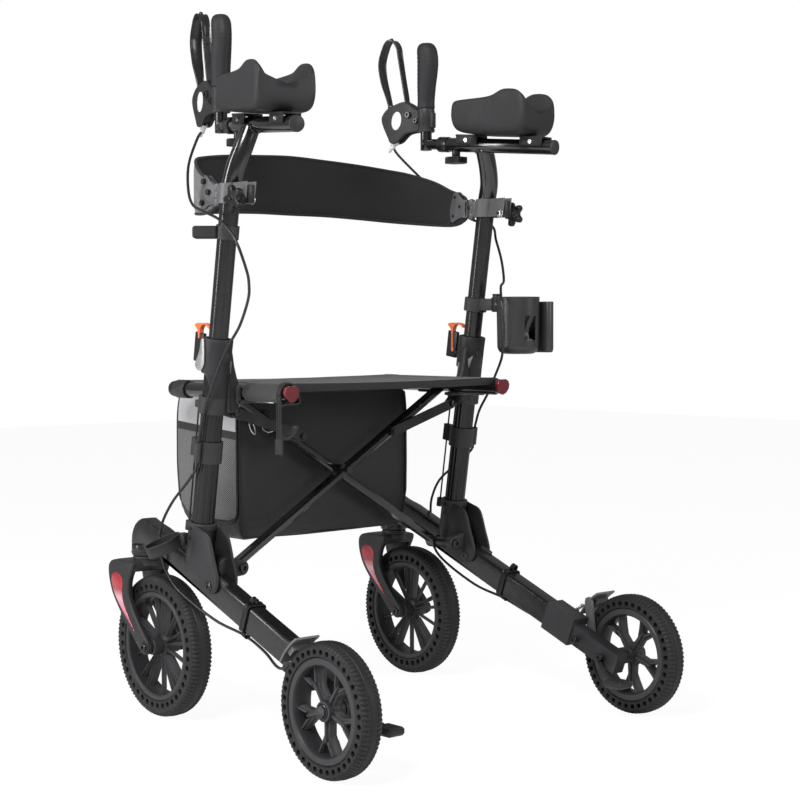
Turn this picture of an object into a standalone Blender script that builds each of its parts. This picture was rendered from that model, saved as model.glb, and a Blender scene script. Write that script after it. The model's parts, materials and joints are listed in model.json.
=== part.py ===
"""Four-wheel rollator with forearm rests that folds sideways.

Metres. +X is the user's right, +Y the way forward, +Z up, and the floor is z = 0. The right side is modelled, and
each of its pieces is mirrored for the left side. Every object's origin lies on the axis that it moves about.
"""
import math

import bmesh
import bpy
from mathutils import Matrix, Vector

# Play
GAP = 0.0003          # between pieces that touch
SLIDE_GAP = 0.0004    # around tubes that slide

# Wheels
REAR_RADIUS = 0.1016
REAR_WIDTH = 0.037
REAR_WHEEL_X = 0.3303
REAR_AXLE_Y = -0.2667
FRONT_RADIUS = 0.1205
FRONT_WIDTH = 0.039
CASTER_X = 0.2804
CASTER_Y = 0.300
CASTER_TRAIL = 0.052
AXLE_RADIUS = 0.006
CROWN_GAP = 0.0022    # between the tyre and the fork over it
CROWN_THICK = 0.018
CROWN_TOP = 2 * FRONT_RADIUS + CROWN_GAP + CROWN_THICK
STEM_PIN_RADIUS = 0.008
SHOE_PIVOT = (-0.194, 0.124)
SHOE_REST = 0.003

# Side frames
LEG_X = 0.283
LEG_WIDTH = 0.030
LEG_HEIGHT = 0.044
LEG_RISE = 0.39
LEG_DROP = 0.0572     # from the crown of the fork to the leg's middle line at y = 0
LEG_Z = CROWN_TOP - LEG_DROP
POST_X = 0.281
POST_Y = 0.1277
POST_Z = 0.3411
POST_LEAN = 0.15773
OUTER_POST_RADIUS = 0.0185
INNER_POST_RADIUS = 0.0160
OUTER_POST_TOP = 0.640
ROD_RADIUS = 0.0015
ROD_REACH = 0.039

# Folding cross
PIVOT_X = 0.2368
PIVOT_Z = 0.2655
CROSS_Z = 0.412
RAIL_X = 0.2324
RAIL_Z = 0.5541
RAIL_RADIUS = 0.0125
RAIL_REAR = -0.044
RAIL_FRONT = 0.280
BAR_A_Y = 0.106
BAR_B_Y = 0.137
BAR_DEPTH = 0.020
BAR_THICK = 0.0128
PIN_RADIUS = 0.0055
LINK_RAIL = (0.2406, 0.5197)
LINK_BAR = (0.1017, 0.475)
LINK_Y = 0.092
LINK_THICK = 0.005
PLUG_RADIUS = 0.010

# Forearm rests
ARM_CAP = (0.2794, -0.1241, 0.9678)
ARM_RADIUS = 0.0127
ARM_MOUTH = 0.2216
EXTENSION_RADIUS = 0.0097
STEM_RADIUS = 0.0105
STEM_AT = 0.2745
LEVER_PIVOT = (0.307, 0.078)

# Back belt
BELT_THICK = 0.007
BELT_X = 0.2757
STAR_AT = (-0.0005, 0.8600)

# Cables, seat, bag and cup holder
CABLE_RADIUS = 0.0023
CABLE_STRAP = (0.3070, 0.1003, 0.4772)
SEAT_THICK = 0.003
SEAT_REAR = -0.030
SEAT_FRONT = 0.268
BAG_HALF = 0.188
CUP_X = 0.2915
CUP_Y = -0.027
CUP_RADIUS = 0.0385
CUP_WALL = 0.0025


# Tools

def clean(bm, name):
    """A mesh object from the bmesh, with every face turned out."""
    bmesh.ops.remove_doubles(bm, verts=bm.verts, dist=1e-6)
    bmesh.ops.recalc_face_normals(bm, faces=bm.faces)
    mesh = bpy.data.meshes.new(name)
    bm.to_mesh(mesh)
    bm.free()
    obj = bpy.data.objects.new(name, mesh)
    bpy.context.scene.collection.objects.link(obj)
    return obj


def evaluated(obj, name):
    """The object as its modifiers or its curve leave it, as a plain mesh object. The first object goes."""
    bpy.context.view_layer.update()
    graph = bpy.context.evaluated_depsgraph_get()
    mesh = bpy.data.meshes.new_from_object(obj.evaluated_get(graph))
    bm = bmesh.new()
    bm.from_mesh(mesh)
    bm.transform(obj.matrix_world)
    bpy.data.objects.remove(obj)
    bpy.data.meshes.remove(mesh)
    return clean(bm, name)


def facing(along, up=(0, 0, 1)):
    """A rotation whose Z runs along the first direction and whose Y stays near the second."""
    z = Vector(along).normalized()
    x = Vector(up).cross(z)
    if x.length < 1e-6:
        x = Vector((1, 0, 0)) if abs(z.x) < 0.9 else Vector((0, 1, 0))
        x = (x - z * x.dot(z))
    x.normalize()
    y = z.cross(x)
    return Matrix((x, y, z)).transposed()


def rod(start, end, radius, sides=12, end_radius=None):
    """A round bar, or a cone where the second radius differs."""
    start = Vector(start)
    end = Vector(end)
    bm = bmesh.new()
    place = Matrix.Translation((start + end) / 2) @ facing(end - start).to_4x4()
    bmesh.ops.create_cone(bm, cap_ends=True, segments=sides, radius1=radius,
                          radius2=radius if end_radius is None else end_radius,
                          depth=(end - start).length, matrix=place)
    return clean(bm, "rod")


def block(center, size, turn=None, bevel=0.0, segments=1):
    """A box with its edges rounded. The turn is a rotation matrix."""
    bm = bmesh.new()
    bmesh.ops.create_cube(bm, size=1.0)
    bmesh.ops.scale(bm, vec=size, verts=bm.verts)
    if bevel > 0:
        bmesh.ops.bevel(bm, geom=bm.edges, offset=bevel, segments=segments, affect="EDGES", profile=0.5)
    place = Matrix.Translation(center)
    if turn is not None:
        place = place @ turn.to_4x4()
    bm.transform(place)
    return clean(bm, "block")


def turned(profile, origin, along, steps=16):
    """A turned shape. The profile is (radius, height) points and closes on itself or ends on the axis."""
    bm = bmesh.new()
    points = [bm.verts.new((r, 0, h)) for r, h in profile]
    closed = profile[0][0] > 0
    for first, second in zip(points, points[1:]):
        bm.edges.new((first, second))
    if closed:
        bm.edges.new((points[-1], points[0]))
    mesh = bpy.data.meshes.new("profile")
    bm.to_mesh(mesh)
    bm.free()
    obj = bpy.data.objects.new("profile", mesh)
    bpy.context.scene.collection.objects.link(obj)
    obj.matrix_world = Matrix.Translation(origin) @ facing(along).to_4x4()
    screw = obj.modifiers.new("turn", "SCREW")
    screw.axis = "Z"
    screw.steps = steps
    screw.render_steps = steps
    screw.use_merge_vertices = True
    screw.merge_threshold = 1e-5
    return evaluated(obj, "turned")


def ring(origin, along, outer, inner, low, high, steps=16):
    """A plain ring between two heights."""
    return turned([(outer, high), (outer, low), (inner, low), (inner, high)], origin, along, steps)


def swept(points, radius, resolution=4):
    """A round tube or cord along the points, solid, with flat ends."""
    curve = bpy.data.curves.new("path", "CURVE")
    curve.dimensions = "3D"
    curve.resolution_u = 1
    curve.bevel_depth = radius
    curve.bevel_resolution = resolution
    curve.use_fill_caps = True
    spline = curve.splines.new("POLY")
    spline.points.add(len(points) - 1)
    for point, place in zip(spline.points, points):
        point.co = (*place, 1)
    obj = bpy.data.objects.new("path", curve)
    bpy.context.scene.collection.objects.link(obj)
    return evaluated(obj, "swept")


def smooth(points, steps):
    """Points of a smooth line through the given points."""
    points = [Vector(p) for p in points]
    ends = [2 * points[0] - points[1], *points, 2 * points[-1] - points[-2]]
    line = []
    for i in range(1, len(ends) - 2):
        a, b, c, d = ends[i - 1:i + 3]
        for k in range(steps):
            t = k / steps
            line.append(0.5 * (2 * b + (c - a) * t + (2 * a - 5 * b + 4 * c - d) * t ** 2
                               + (3 * b - a - 3 * c + d) * t ** 3))
    line.append(points[-1])
    return line


def plate(outline, thick, origin, along, up=(0, 0, 1), holes=(), bevel=0.0, segments=1):
    """A flat piece: outline (x, y points) and round holes (x, y, radius), extruded along the direction."""
    curve = bpy.data.curves.new("outline", "CURVE")
    curve.dimensions = "2D"
    curve.fill_mode = "BOTH"
    curve.extrude = thick / 2
    curve.resolution_u = 1
    loops = [list(outline)]
    for x, y, radius in holes:
        loops.append([(x + radius * math.cos(k * math.pi / 5), y + radius * math.sin(k * math.pi / 5))
                      for k in range(10)])
    for loop in loops:
        spline = curve.splines.new("POLY")
        spline.points.add(len(loop) - 1)
        spline.use_cyclic_u = True
        for point, (x, y) in zip(spline.points, loop):
            point.co = (x, y, 0, 1)
    obj = bpy.data.objects.new("outline", curve)
    bpy.context.scene.collection.objects.link(obj)
    obj.matrix_world = Matrix.Translation(origin) @ facing(along, up).to_4x4()
    flat = evaluated(obj, "plate")
    if bevel > 0:
        bm = bmesh.new()
        bm.from_mesh(flat.data)
        normal = Vector(along).normalized()
        rim = [e for e in bm.edges if len(e.link_faces) == 2
               and abs(e.link_faces[0].normal.dot(normal)) + abs(e.link_faces[1].normal.dot(normal)) < 1.2
               and abs(e.link_faces[0].normal.dot(normal)) + abs(e.link_faces[1].normal.dot(normal)) > 0.8]
        bmesh.ops.bevel(bm, geom=rim, offset=bevel, segments=segments, affect="EDGES", profile=0.5)
        bmesh.ops.recalc_face_normals(bm, faces=bm.faces)
        bm.to_mesh(flat.data)
        bm.free()
    return flat


def loft(sections):
    """A solid through closed loops of equal length, with both ends capped."""
    bm = bmesh.new()
    loops = [[bm.verts.new(p) for p in section] for section in sections]
    count = len(loops[0])
    for first, second in zip(loops, loops[1:]):
        for k in range(count):
            bm.faces.new((first[k], first[(k + 1) % count], second[(k + 1) % count], second[k]))
    bm.faces.new(loops[0])
    bm.faces.new(loops[-1])
    return clean(bm, "loft")


def band(path, width, thick, across):
    """A strap along a path of points: the width lies along the given direction at each point."""
    sections = []
    for i, point in enumerate(path):
        before = Vector(path[max(i - 1, 0)])
        after = Vector(path[min(i + 1, len(path) - 1)])
        side = Vector(across).normalized()
        out = (after - before).normalized().cross(side).normalized()
        wide = side * (width[i] if isinstance(width, (list, tuple)) else width) / 2
        deep = out * thick / 2
        place = Vector(point)
        sections.append([place - wide - deep, place + wide - deep, place + wide + deep,
                         place - wide + deep])
    return loft(sections)


def fuse(pieces, cuts=()):
    """One closed mesh object from pieces that overlap, less the cutters."""
    base = pieces[0]
    for kind, others in (("UNION", pieces[1:]), ("DIFFERENCE", list(cuts))):
        for other in others:
            change = base.modifiers.new(kind, "BOOLEAN")
            change.operation = kind
            change.solver = "EXACT"
            change.object = other
    solid = evaluated(base, "solid") if base.modifiers else base
    bm = bmesh.new()
    bm.from_mesh(solid.data)
    bmesh.ops.dissolve_limit(bm, angle_limit=math.radians(0.1), verts=bm.verts, edges=bm.edges)
    loose = [edge for edge in bm.edges if not edge.link_faces]
    bmesh.ops.delete(bm, geom=loose, context="EDGES")
    bm.to_mesh(solid.data)
    bm.free()
    for other in [*pieces[1:], *cuts]:
        bpy.data.objects.remove(other)
    return solid


# Places on the side frame

POST_UP = Vector((0, -POST_LEAN, 1)).normalized()
POST_AHEAD = Vector((0, POST_UP.z, -POST_UP.y))
LEG_ALONG = Vector((0, 1, LEG_RISE)).normalized()
LEG_UP = Vector((0, -LEG_ALONG.z, LEG_ALONG.y))
LEG_TURN = Matrix((Vector((1, 0, 0)), LEG_ALONG, LEG_UP)).transposed()
POST_TURN = Matrix((Vector((1, 0, 0)), POST_AHEAD, POST_UP)).transposed()
ARM_FLAT = Vector((-0.19012, 0.98176, 0))
ARM_SIDE = Vector((0.98176, 0.19012, 0))
ARM_SLOPE = 0.0863
ARM_ALONG = (ARM_FLAT + Vector((0, 0, ARM_SLOPE))).normalized()
ARM_TURN = Matrix((ARM_SIDE, ARM_ALONG, ARM_SIDE.cross(ARM_ALONG))).transposed()


def on_post(z, ahead=0.0, side=0.0):
    """A point of the post axis at a height, or beside it."""
    return Vector((POST_X + side, POST_Y - POST_LEAN * (z - POST_Z), z)) + POST_AHEAD * ahead


def on_leg(y, up=0.0, side=0.0):
    """A point of the leg's middle line, or beside it."""
    return Vector((LEG_X + side, y, LEG_Z + LEG_RISE * y)) + LEG_UP * up


def stem_point(over):
    """A point of the caster's swivel axis over the crown of the fork."""
    return Vector((CASTER_X, CASTER_Y, CROWN_TOP + over))


def arm(along, height, side=0.0):
    """A point of the forearm frame: metres along from the rear cap, height over it, and outward."""
    return Vector(ARM_CAP) + ARM_FLAT * along + Vector((0, 0, height)) + ARM_SIDE * side


def arm_axis(along, over=0.0, side=0.0):
    """A point over the axis of the forearm tube."""
    return arm(along, ARM_SLOPE * along + over, side)


def circle(count, radius, start=0.0):
    """Points round a circle."""
    return [(radius * math.cos(start + 2 * math.pi * k / count),
             radius * math.sin(start + 2 * math.pi * k / count))
            for k in range(count)]


def capsule(first, last, first_radius, last_radius, count=5):
    """The outline of a flat link with two round ends."""
    a = Vector(first)
    b = Vector(last)
    turn = math.atan2(b.y - a.y, b.x - a.x)
    points = []
    for center, radius, start in ((b, last_radius, turn - math.pi / 2),
                                  (a, first_radius, turn + math.pi / 2)):
        for k in range(count):
            angle = start + math.pi * k / (count - 1)
            points.append((center.x + radius * math.cos(angle), center.y + radius * math.sin(angle)))
    return points


# Nodes

LOOKS = {
    "frame": ((0.012, 0.012, 0.013), 0.35, 0.0),
    "plastic": ((0.035, 0.035, 0.038), 0.55, 0.0),
    "steel": ((0.6, 0.6, 0.62), 0.3, 1.0),
    "sheet": ((0.2, 0.2, 0.21), 0.45, 0.0),
    "rubber": ((0.03, 0.03, 0.032), 0.8, 0.0),
    "foam": ((0.05, 0.05, 0.055), 0.75, 0.0),
    "fabric": ((0.02, 0.02, 0.022), 0.9, 0.0),
    "orange": ((0.8, 0.2, 0.08), 0.4, 0.0),
    "red": ((0.6, 0.01, 0.01), 0.2, 0.0),
}


def node(name, solid, origin, look, group, side=1):
    """Names a solid, mirrors it for the left side, and moves its origin onto its joint or its middle."""
    origin = Vector(origin)
    solid.data.transform(Matrix.Translation(-origin))
    if side < 0:
        solid.data.transform(Matrix.Diagonal((-1, 1, 1, 1)))
        solid.data.flip_normals()
        origin.x = -origin.x
    solid.name = name
    solid.data.name = name
    solid.location = origin
    color, rough, metal = LOOKS[look]
    material = bpy.data.materials.new(name)
    material.use_nodes = True
    shader = material.node_tree.nodes["Principled BSDF"]
    shader.inputs["Base Color"].default_value = (*color, 1)
    shader.inputs["Roughness"].default_value = rough
    shader.inputs["Metallic"].default_value = metal
    solid.data.materials.clear()
    solid.data.materials.append(material)
    if group not in bpy.data.objects:
        empty = bpy.data.objects.new(group, None)
        rollator.objects.link(empty)
    solid.parent = bpy.data.objects[group]
    bpy.context.scene.collection.objects.unlink(solid)
    rollator.objects.link(solid)


def pair(name, solid, origin, look, group):
    """The right node and its mirror image on the left."""
    twin = bpy.data.objects.new("twin", solid.data.copy())
    bpy.context.scene.collection.objects.link(twin)
    node(name + "_right", solid, origin, look, group + "_right")
    node(name + "_left", twin, origin, look, group + "_left", -1)


# Side frame

def leg():
    half = LEG_HEIGHT / 2
    top = CASTER_Y + 0.023
    back = CASTER_Y - 0.023
    elbow = [(back, 0.0233), (top, 0.0233), (top, 0.0408), (top - 0.003, 0.0508), (top - 0.011, 0.0618),
             (top - 0.023, 0.0698), (back + 0.008, 0.0723)]
    outline = [on_leg(-0.172, -half), on_leg(back - 0.012, -half),
               *[(0, y, CROWN_TOP + rise) for y, rise in elbow],
               on_leg(back - 0.02, half), on_leg(-0.172, half)]
    beam = plate([(p[1], p[2]) for p in outline], LEG_WIDTH, (LEG_X, 0, 0), (1, 0, 0), bevel=0.005)
    collar = rod(stem_point(0.0088), stem_point(0.0268), 0.025, 16)
    bore = rod(stem_point(-0.0012), stem_point(0.0548), STEM_PIN_RADIUS + GAP, 16)
    pair("leg", fuse([beam, collar], [bore]), on_leg(0.05), "frame", "side")


def outer_post():
    low = 0.286
    height = (OUTER_POST_TOP - low) / POST_UP.z
    bore = (0.44 - low) / POST_UP.z
    hole = INNER_POST_RADIUS + SLIDE_GAP
    profile = [(0, 0), (OUTER_POST_RADIUS, 0), (OUTER_POST_RADIUS, height), (hole, height), (hole, bore),
               (0, bore)]
    pair("outer_post", turned(profile, on_post(low), POST_UP, 16), on_post(low), "frame", "side")


def lower_bracket(side):
    bore = OUTER_POST_RADIUS + GAP
    socket = rod(on_post(0.262), on_post(POST_Z), bore + 0.0042, 16)
    body = block(on_leg(0.112, 0.009), (0.042, 0.082, 0.070), LEG_TURN, 0.004, 1)
    lug_x = PIVOT_X
    lug = plate(capsule((LEG_X - 0.012, PIVOT_Z + 0.002), (lug_x, PIVOT_Z), 0.018, 0.013), 0.0145,
                (0, 0.0858, 0), (0, -1, 0))
    bar_y = BAR_B_Y if side > 0 else BAR_A_Y
    bar_end = bar_y + BAR_DEPTH / 2
    pin = rod((lug_x, 0.074, PIVOT_Z), (lug_x, bar_end + 0.006, PIVOT_Z), PIN_RADIUS, 16)
    head = rod((lug_x, 0.0735, PIVOT_Z), (lug_x, 0.079, PIVOT_Z), 0.0085, 6)
    nut = rod((lug_x, bar_end + GAP, PIVOT_Z), (lug_x, bar_end + 0.0055, PIVOT_Z), 0.0085, 6)
    spacer_end = bar_y - BAR_DEPTH / 2 - GAP
    spacer = rod((lug_x, 0.092, PIVOT_Z), (lug_x, spacer_end, PIVOT_Z), 0.009, 16)
    boss = rod(on_post(0.318, ROD_REACH), on_post(0.334, ROD_REACH), 0.006, 12)
    web = block(on_post(0.326, (bore + ROD_REACH) / 2), (0.008, ROD_REACH - bore, 0.014), POST_TURN)
    wire = rod(on_post(0.326, ROD_REACH), on_post(0.531, ROD_REACH), ROD_RADIUS, 8)
    fin = block(on_leg(0.064, 0.008, 0.010), (0.010, 0.030, 0.040), LEG_TURN)
    cross = LEG_X + 0.021
    bolt = rod((cross - 0.002, 0.1122, 0.2376), (cross + 0.003, 0.1122, 0.2376), 0.0065, 6)
    post_hole = rod(on_post(0.286 - GAP), on_post(0.36), bore, 16)
    leg_hole = block(on_leg(0.11), (LEG_WIDTH + 2 * GAP, 0.2, LEG_HEIGHT + 2 * GAP), LEG_TURN)
    solid = fuse([socket, body, lug, pin, head, nut, spacer, boss, web, wire, fin, bolt],
                 [post_hole, leg_hole])
    name = "right" if side > 0 else "left"
    node("lower_bracket_" + name, solid, (PIVOT_X, 0.0858, PIVOT_Z), "plastic", "side_" + name, side)


def upper_bracket():
    bore = OUTER_POST_RADIUS + GAP
    outer = bore + 0.0052
    low = 0.520
    mid = on_post(0.5655)
    column = rod(on_post(low), on_post(0.548), outer, 16)
    collar = rod(on_post(0.585), on_post(0.6415), outer, 16)
    web = block((POST_X - 0.023, mid.y - 0.006, 0.568), (0.013, 0.030, 0.096), POST_TURN)
    back = block((POST_X - 0.006, mid.y - 0.0245, 0.568), (0.024, 0.010, 0.080), POST_TURN)
    reach = RAIL_RADIUS + GAP
    rest = block((RAIL_X + 0.003, 0.0782, RAIL_Z - reach - 0.003), (0.034, 0.0205, 0.006))
    cheek = block((RAIL_X + reach + 0.0045, 0.0782, RAIL_Z - 0.004), (0.009, 0.0205, 0.0316))
    ear = plate(capsule(LINK_RAIL, (POST_X - 0.018, 0.532), 0.0095, 0.0145), 0.0075,
                (0, LINK_Y + LINK_THICK / 2 + GAP + 0.0037, 0), (0, -1, 0))
    pin = rod((LINK_RAIL[0], LINK_Y - 0.0062, LINK_RAIL[1]), (LINK_RAIL[0], 0.102, LINK_RAIL[1]), 0.004, 12)
    head = rod((LINK_RAIL[0], LINK_Y - 0.0066, LINK_RAIL[1]),
               (LINK_RAIL[0], LINK_Y - LINK_THICK / 2 - GAP, LINK_RAIL[1]), 0.0065, 6)
    guide = block(on_post(0.528, (bore + ROD_REACH) / 2 + 0.004), (0.009, ROD_REACH - bore + 0.008, 0.012),
                  POST_TURN)
    housing = block((POST_X, 0.1215, 0.626), (0.020, 0.045, 0.044))
    post_hole = rod(on_post(0.50), on_post(0.66), bore, 16)
    rod_hole = rod(on_post(0.515, ROD_REACH), on_post(0.56, ROD_REACH), ROD_RADIUS + GAP, 8)
    slot = block((POST_X, 0.1385, 0.626), (0.0105, 0.052, 0.080))
    solid = fuse([column, collar, web, back, rest, cheek, ear, pin, head, guide, housing],
                 [post_hole, rod_hole, slot])
    hinge = rod((POST_X - 0.008, 0.122, 0.612), (POST_X + 0.008, 0.122, 0.612), 0.002, 8)
    pair("upper_bracket", fuse([solid, hinge]), on_post(0.6), "plastic", "side")


def latch_lever():
    outline = [(0.1155, 0.6155), (0.1165, 0.606), (0.121, 0.600), (0.128, 0.602), (0.1343, 0.612),
               (0.1343, 0.652),
               (0.137, 0.6585), (0.1415, 0.6610), (0.1410, 0.6650), (0.124, 0.6665), (0.108, 0.6665),
               (0.1010, 0.6620),
               (0.1000, 0.6560), (0.1040, 0.6545), (0.1075, 0.6595), (0.118, 0.6610), (0.126, 0.6590),
               (0.1300, 0.650),
               (0.1300, 0.630), (0.1155, 0.628)]
    solid = plate(outline, 0.0095, (POST_X, 0, 0), (1, 0, 0), holes=[(0.122, 0.612, 0.0025)])
    pair("latch_lever", solid, (POST_X, 0.122, 0.612), "orange", "side")


def cable_strap():
    bore = OUTER_POST_RADIUS + GAP
    loop = rod(on_post(0.440), on_post(0.475), bore + 0.0035, 16)
    lug = block(on_post(0.458, (bore + ROD_REACH) / 2 + 0.003), (0.010, ROD_REACH - bore + 0.006, 0.030),
                POST_TURN)
    cable = Vector(CABLE_STRAP)
    eye = rod(cable - POST_UP * 0.036, cable - POST_UP * 0.004, 0.0055, 12)
    post_hole = rod(on_post(0.42), on_post(0.49), bore, 16)
    rod_hole = rod(on_post(0.43, ROD_REACH), on_post(0.49, ROD_REACH), ROD_RADIUS + GAP, 8)
    cable_hole = rod(cable - POST_UP * 0.05, cable + POST_UP * 0.01, CABLE_RADIUS + GAP, 10)
    pair("cable_strap", fuse([loop, lug, eye], [post_hole, rod_hole, cable_hole]), on_post(0.458),
         "plastic", "side")


def leg_end():
    length = 0.066
    sleeve = block(on_leg(-0.150), (LEG_WIDTH + 0.006, length, LEG_HEIGHT + 0.006), LEG_TURN)
    tail = block(on_leg(-0.228, -0.002, -0.003), (0.024, 0.118, 0.034), LEG_TURN)
    axle = (REAR_AXLE_Y, REAR_RADIUS)
    hub = REAR_WHEEL_X - 0.0198
    boss = rod((0.278, *axle), (hub - GAP, *axle), 0.014, 16)
    pin = rod((0.285, *axle), (REAR_WHEEL_X + 0.0165, *axle), AXLE_RADIUS, 16)
    head = rod((REAR_WHEEL_X + 0.0155, *axle), (REAR_WHEEL_X + 0.0185, *axle), 0.0088, 6)
    shoe_boss = rod((0.275, *SHOE_PIVOT), (0.3027, *SHOE_PIVOT), 0.008, 12)
    shoe_pin = rod((0.3, *SHOE_PIVOT), (0.3100, *SHOE_PIVOT), 0.0035, 10)
    shoe_head = rod((0.3083, *SHOE_PIVOT), (0.3105, *SHOE_PIVOT), 0.006, 6)
    tail_bolts = [rod((0.262, y, z), (0.2715, y, z), 0.0055, 6) for y,
                  z in ((-0.194, 0.124), (-0.253, 0.102))]
    stalk = swept(smooth([(0.276, -0.232, 0.108), (0.262, -0.252, 0.090), (0.252, -0.275, 0.074),
                          (0.250, -0.300, 0.066)], 2), 0.006, 1)
    pedal = block((0.250, -0.303, 0.066), (0.034, 0.040, 0.013), None, 0.004)
    leg_hole = block(on_leg(-0.122), (LEG_WIDTH + 2 * GAP, 0.11, LEG_HEIGHT + 2 * GAP), LEG_TURN)
    solid = fuse([sleeve, tail, boss, pin, head, shoe_boss, shoe_pin, shoe_head, *tail_bolts, stalk, pedal],
                 [leg_hole])
    pair("leg_end", solid, (REAR_WHEEL_X, *axle), "plastic", "side")


def polar(radius, angle):
    """A point (y, z) of the rear wheel's plane."""
    return REAR_AXLE_Y + radius * math.cos(angle), REAR_RADIUS + radius * math.sin(angle)


def arc_block(low, high, first, last, start, end, count=5):
    """A curved block round the rear axle: radii, x limits and angles."""
    sections = []
    for k in range(count):
        angle = math.radians(start + (end - start) * k / (count - 1))
        near = polar(low, angle)
        far = polar(high, angle)
        sections.append([(first, *near), (last, *near), (last, *far), (first, *far)])
    return loft(sections)


def brake_shoe():
    guard = arc_block(REAR_RADIUS + 0.0115, REAR_RADIUS + 0.0150, 0.3035, 0.3485, 31, 59, 6)
    shoe = arc_block(REAR_RADIUS + SHOE_REST, REAR_RADIUS + 0.0125, 0.316, 0.345, 42, 50, 3)
    top = polar(REAR_RADIUS + 0.013, math.radians(46))
    strut = plate(capsule(SHOE_PIVOT, top, 0.0085, 0.008), 0.005, (0.3055, 0, 0), (1, 0, 0),
                  holes=[(*SHOE_PIVOT, 0.0035 + GAP)])
    pair("brake_shoe", fuse([strut, guard, shoe]), (0.3055, *SHOE_PIVOT), "sheet", "side")


def spoked(radius, opening, width, hub, openings, thick, bore, center, steps):
    """A rim about the X axis: ring, web with openings, and hub (radius, low end, high end) with its bore."""
    half = width / 2
    web = thick / 2
    hub_radius, hub_low, hub_high = hub
    start = (bore + hub_radius) / 2
    profile = [(start, -web), (opening, -web), (opening, -half), (radius, -half), (radius, half),
               (opening, half),
               (opening, web), (start, web)]
    wheel = turned(profile, center, (1, 0, 0), steps)
    barrel = turned([(bore, hub_low), (hub_radius - 0.004, hub_low), (hub_radius, hub_low + 0.005),
                     (hub_radius, hub_high - 0.005), (hub_radius - 0.004, hub_high), (bore, hub_high)],
                    center, (1, 0, 0), 12)
    wheel = fuse([wheel], [plate(outline, thick * 1.5, center, (1, 0, 0)) for outline in openings])
    return fuse([wheel, barrel])


def fan(spots):
    """Points from (radius, degrees) pairs."""
    return [(r * math.cos(math.radians(a)), r * math.sin(math.radians(a))) for r, a in spots]


def tyre(outer, inner, width, center, steps):
    half = width / 2
    profile = [(inner, half), (outer - 0.007, half), (outer, half * 0.5), (outer, -half * 0.5),
               (outer - 0.007, -half),
               (inner, -half)]
    return turned(profile, center, (1, 0, 0), steps)


def wheels():
    rear = (REAR_WHEEL_X, REAR_AXLE_Y, REAR_RADIUS)
    inner = REAR_RADIUS * 0.77
    opening = REAR_RADIUS * 0.64
    edge = opening - 0.0025
    openings = []
    for k in range(5):
        a = 72 * k + 54
        openings.append(fan([(0.026, a + 24), (0.026, a + 48), (edge, a + 55), (edge, a + 42),
                             (edge, a + 30),
                             (edge, a + 17)]))
        openings.append(fan([(opening * 0.66, a), (edge, a + 8), (edge, a - 8)]))
    rim = spoked(inner, opening, REAR_WIDTH - 0.006, (0.019, -0.0195, 0.0152), openings, 0.014,
                 AXLE_RADIUS + GAP,
                 rear, 28)
    pair("rear_rim", rim, rear, "plastic", "rear_wheel")
    pair("rear_tyre", tyre(REAR_RADIUS, inner + GAP, REAR_WIDTH, rear, 28), rear, "rubber", "rear_wheel")
    front = (CASTER_X, CASTER_Y - CASTER_TRAIL, FRONT_RADIUS)
    inner = FRONT_RADIUS * 0.76
    opening = FRONT_RADIUS * 0.68
    edge = opening - 0.0025
    openings = []
    for k in range(5):
        a = 72 * k + 18
        openings.append(fan([(0.029, a + 28), (0.029, a + 44), (edge, a + 59), (edge, a + 47),
                             (edge, a + 36),
                             (edge, a + 25), (edge, a + 13)]))
        openings.append(fan([(0.033, a - 12), (0.033, a + 12), (edge, a + 8), (edge, a - 8)]))
    rim = spoked(inner, opening, FRONT_WIDTH - 0.008, (0.021, -0.0265, 0.0265), openings, 0.012,
                 AXLE_RADIUS + GAP,
                 front, 28)
    pair("front_rim", rim, front, "plastic", "caster_wheel")
    pair("front_tyre", tyre(FRONT_RADIUS, inner + GAP, FRONT_WIDTH, front, 28), front, "rubber",
         "caster_wheel")


def caster_fork():
    axle = (CASTER_Y - CASTER_TRAIL, FRONT_RADIUS)
    tall = CROWN_TOP - FRONT_RADIUS
    front = [(0.283, 1.006), (0.350, 1.006), (0.3618, 0.942), (0.3618, 0.807), (0.352, 0.608),
             (0.322, 0.352),
             (0.287, 0.103)]
    rear = [(0.262, 0.224), (0.289, 0.451), (0.300, 0.615), (0.299, 0.750), (0.283, 0.892)]
    foot = [(0.0140, -0.0085), (0.0075, -0.0100), (0, -0.0110), (-0.0075, -0.0080), (-0.0110, 0),
            (-0.0080, 0.0080)]
    outline = [*[(y, FRONT_RADIUS + share * tall) for y, share in front],
               *[(axle[0] + y, axle[1] + z) for y, z in foot],
               *[(y, FRONT_RADIUS + share * tall) for y, share in rear]]
    legs = [plate(outline, 0.011, (CASTER_X + side * 0.0335, 0, 0), (1, 0, 0)) for side in (1, -1)]
    crown = block((CASTER_X, 0.3165, CROWN_TOP - CROWN_THICK / 2), (0.072, 0.066, CROWN_THICK), None, 0.003)
    cover = turned([(0, -0.0112), (0.023, -0.0112), (0.023, 0.0048), (0.020, 0.0085), (0, 0.0085)],
                   stem_point(0),
                   (0, 0, 1), 16)
    stem = rod(stem_point(-0.0062), stem_point(0.0518), STEM_PIN_RADIUS, 16)
    pin = rod((CASTER_X - 0.035, *axle), (CASTER_X + 0.035, *axle), AXLE_RADIUS, 16)
    heads = [rod((CASTER_X + side * 0.038, *axle), (CASTER_X + side * 0.0425, *axle), 0.0085,
                 6) for side in (1, -1)]
    pair("caster_fork", fuse([crown, *legs, cover, stem, pin, *heads]), stem_point(0), "plastic", "caster")


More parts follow.
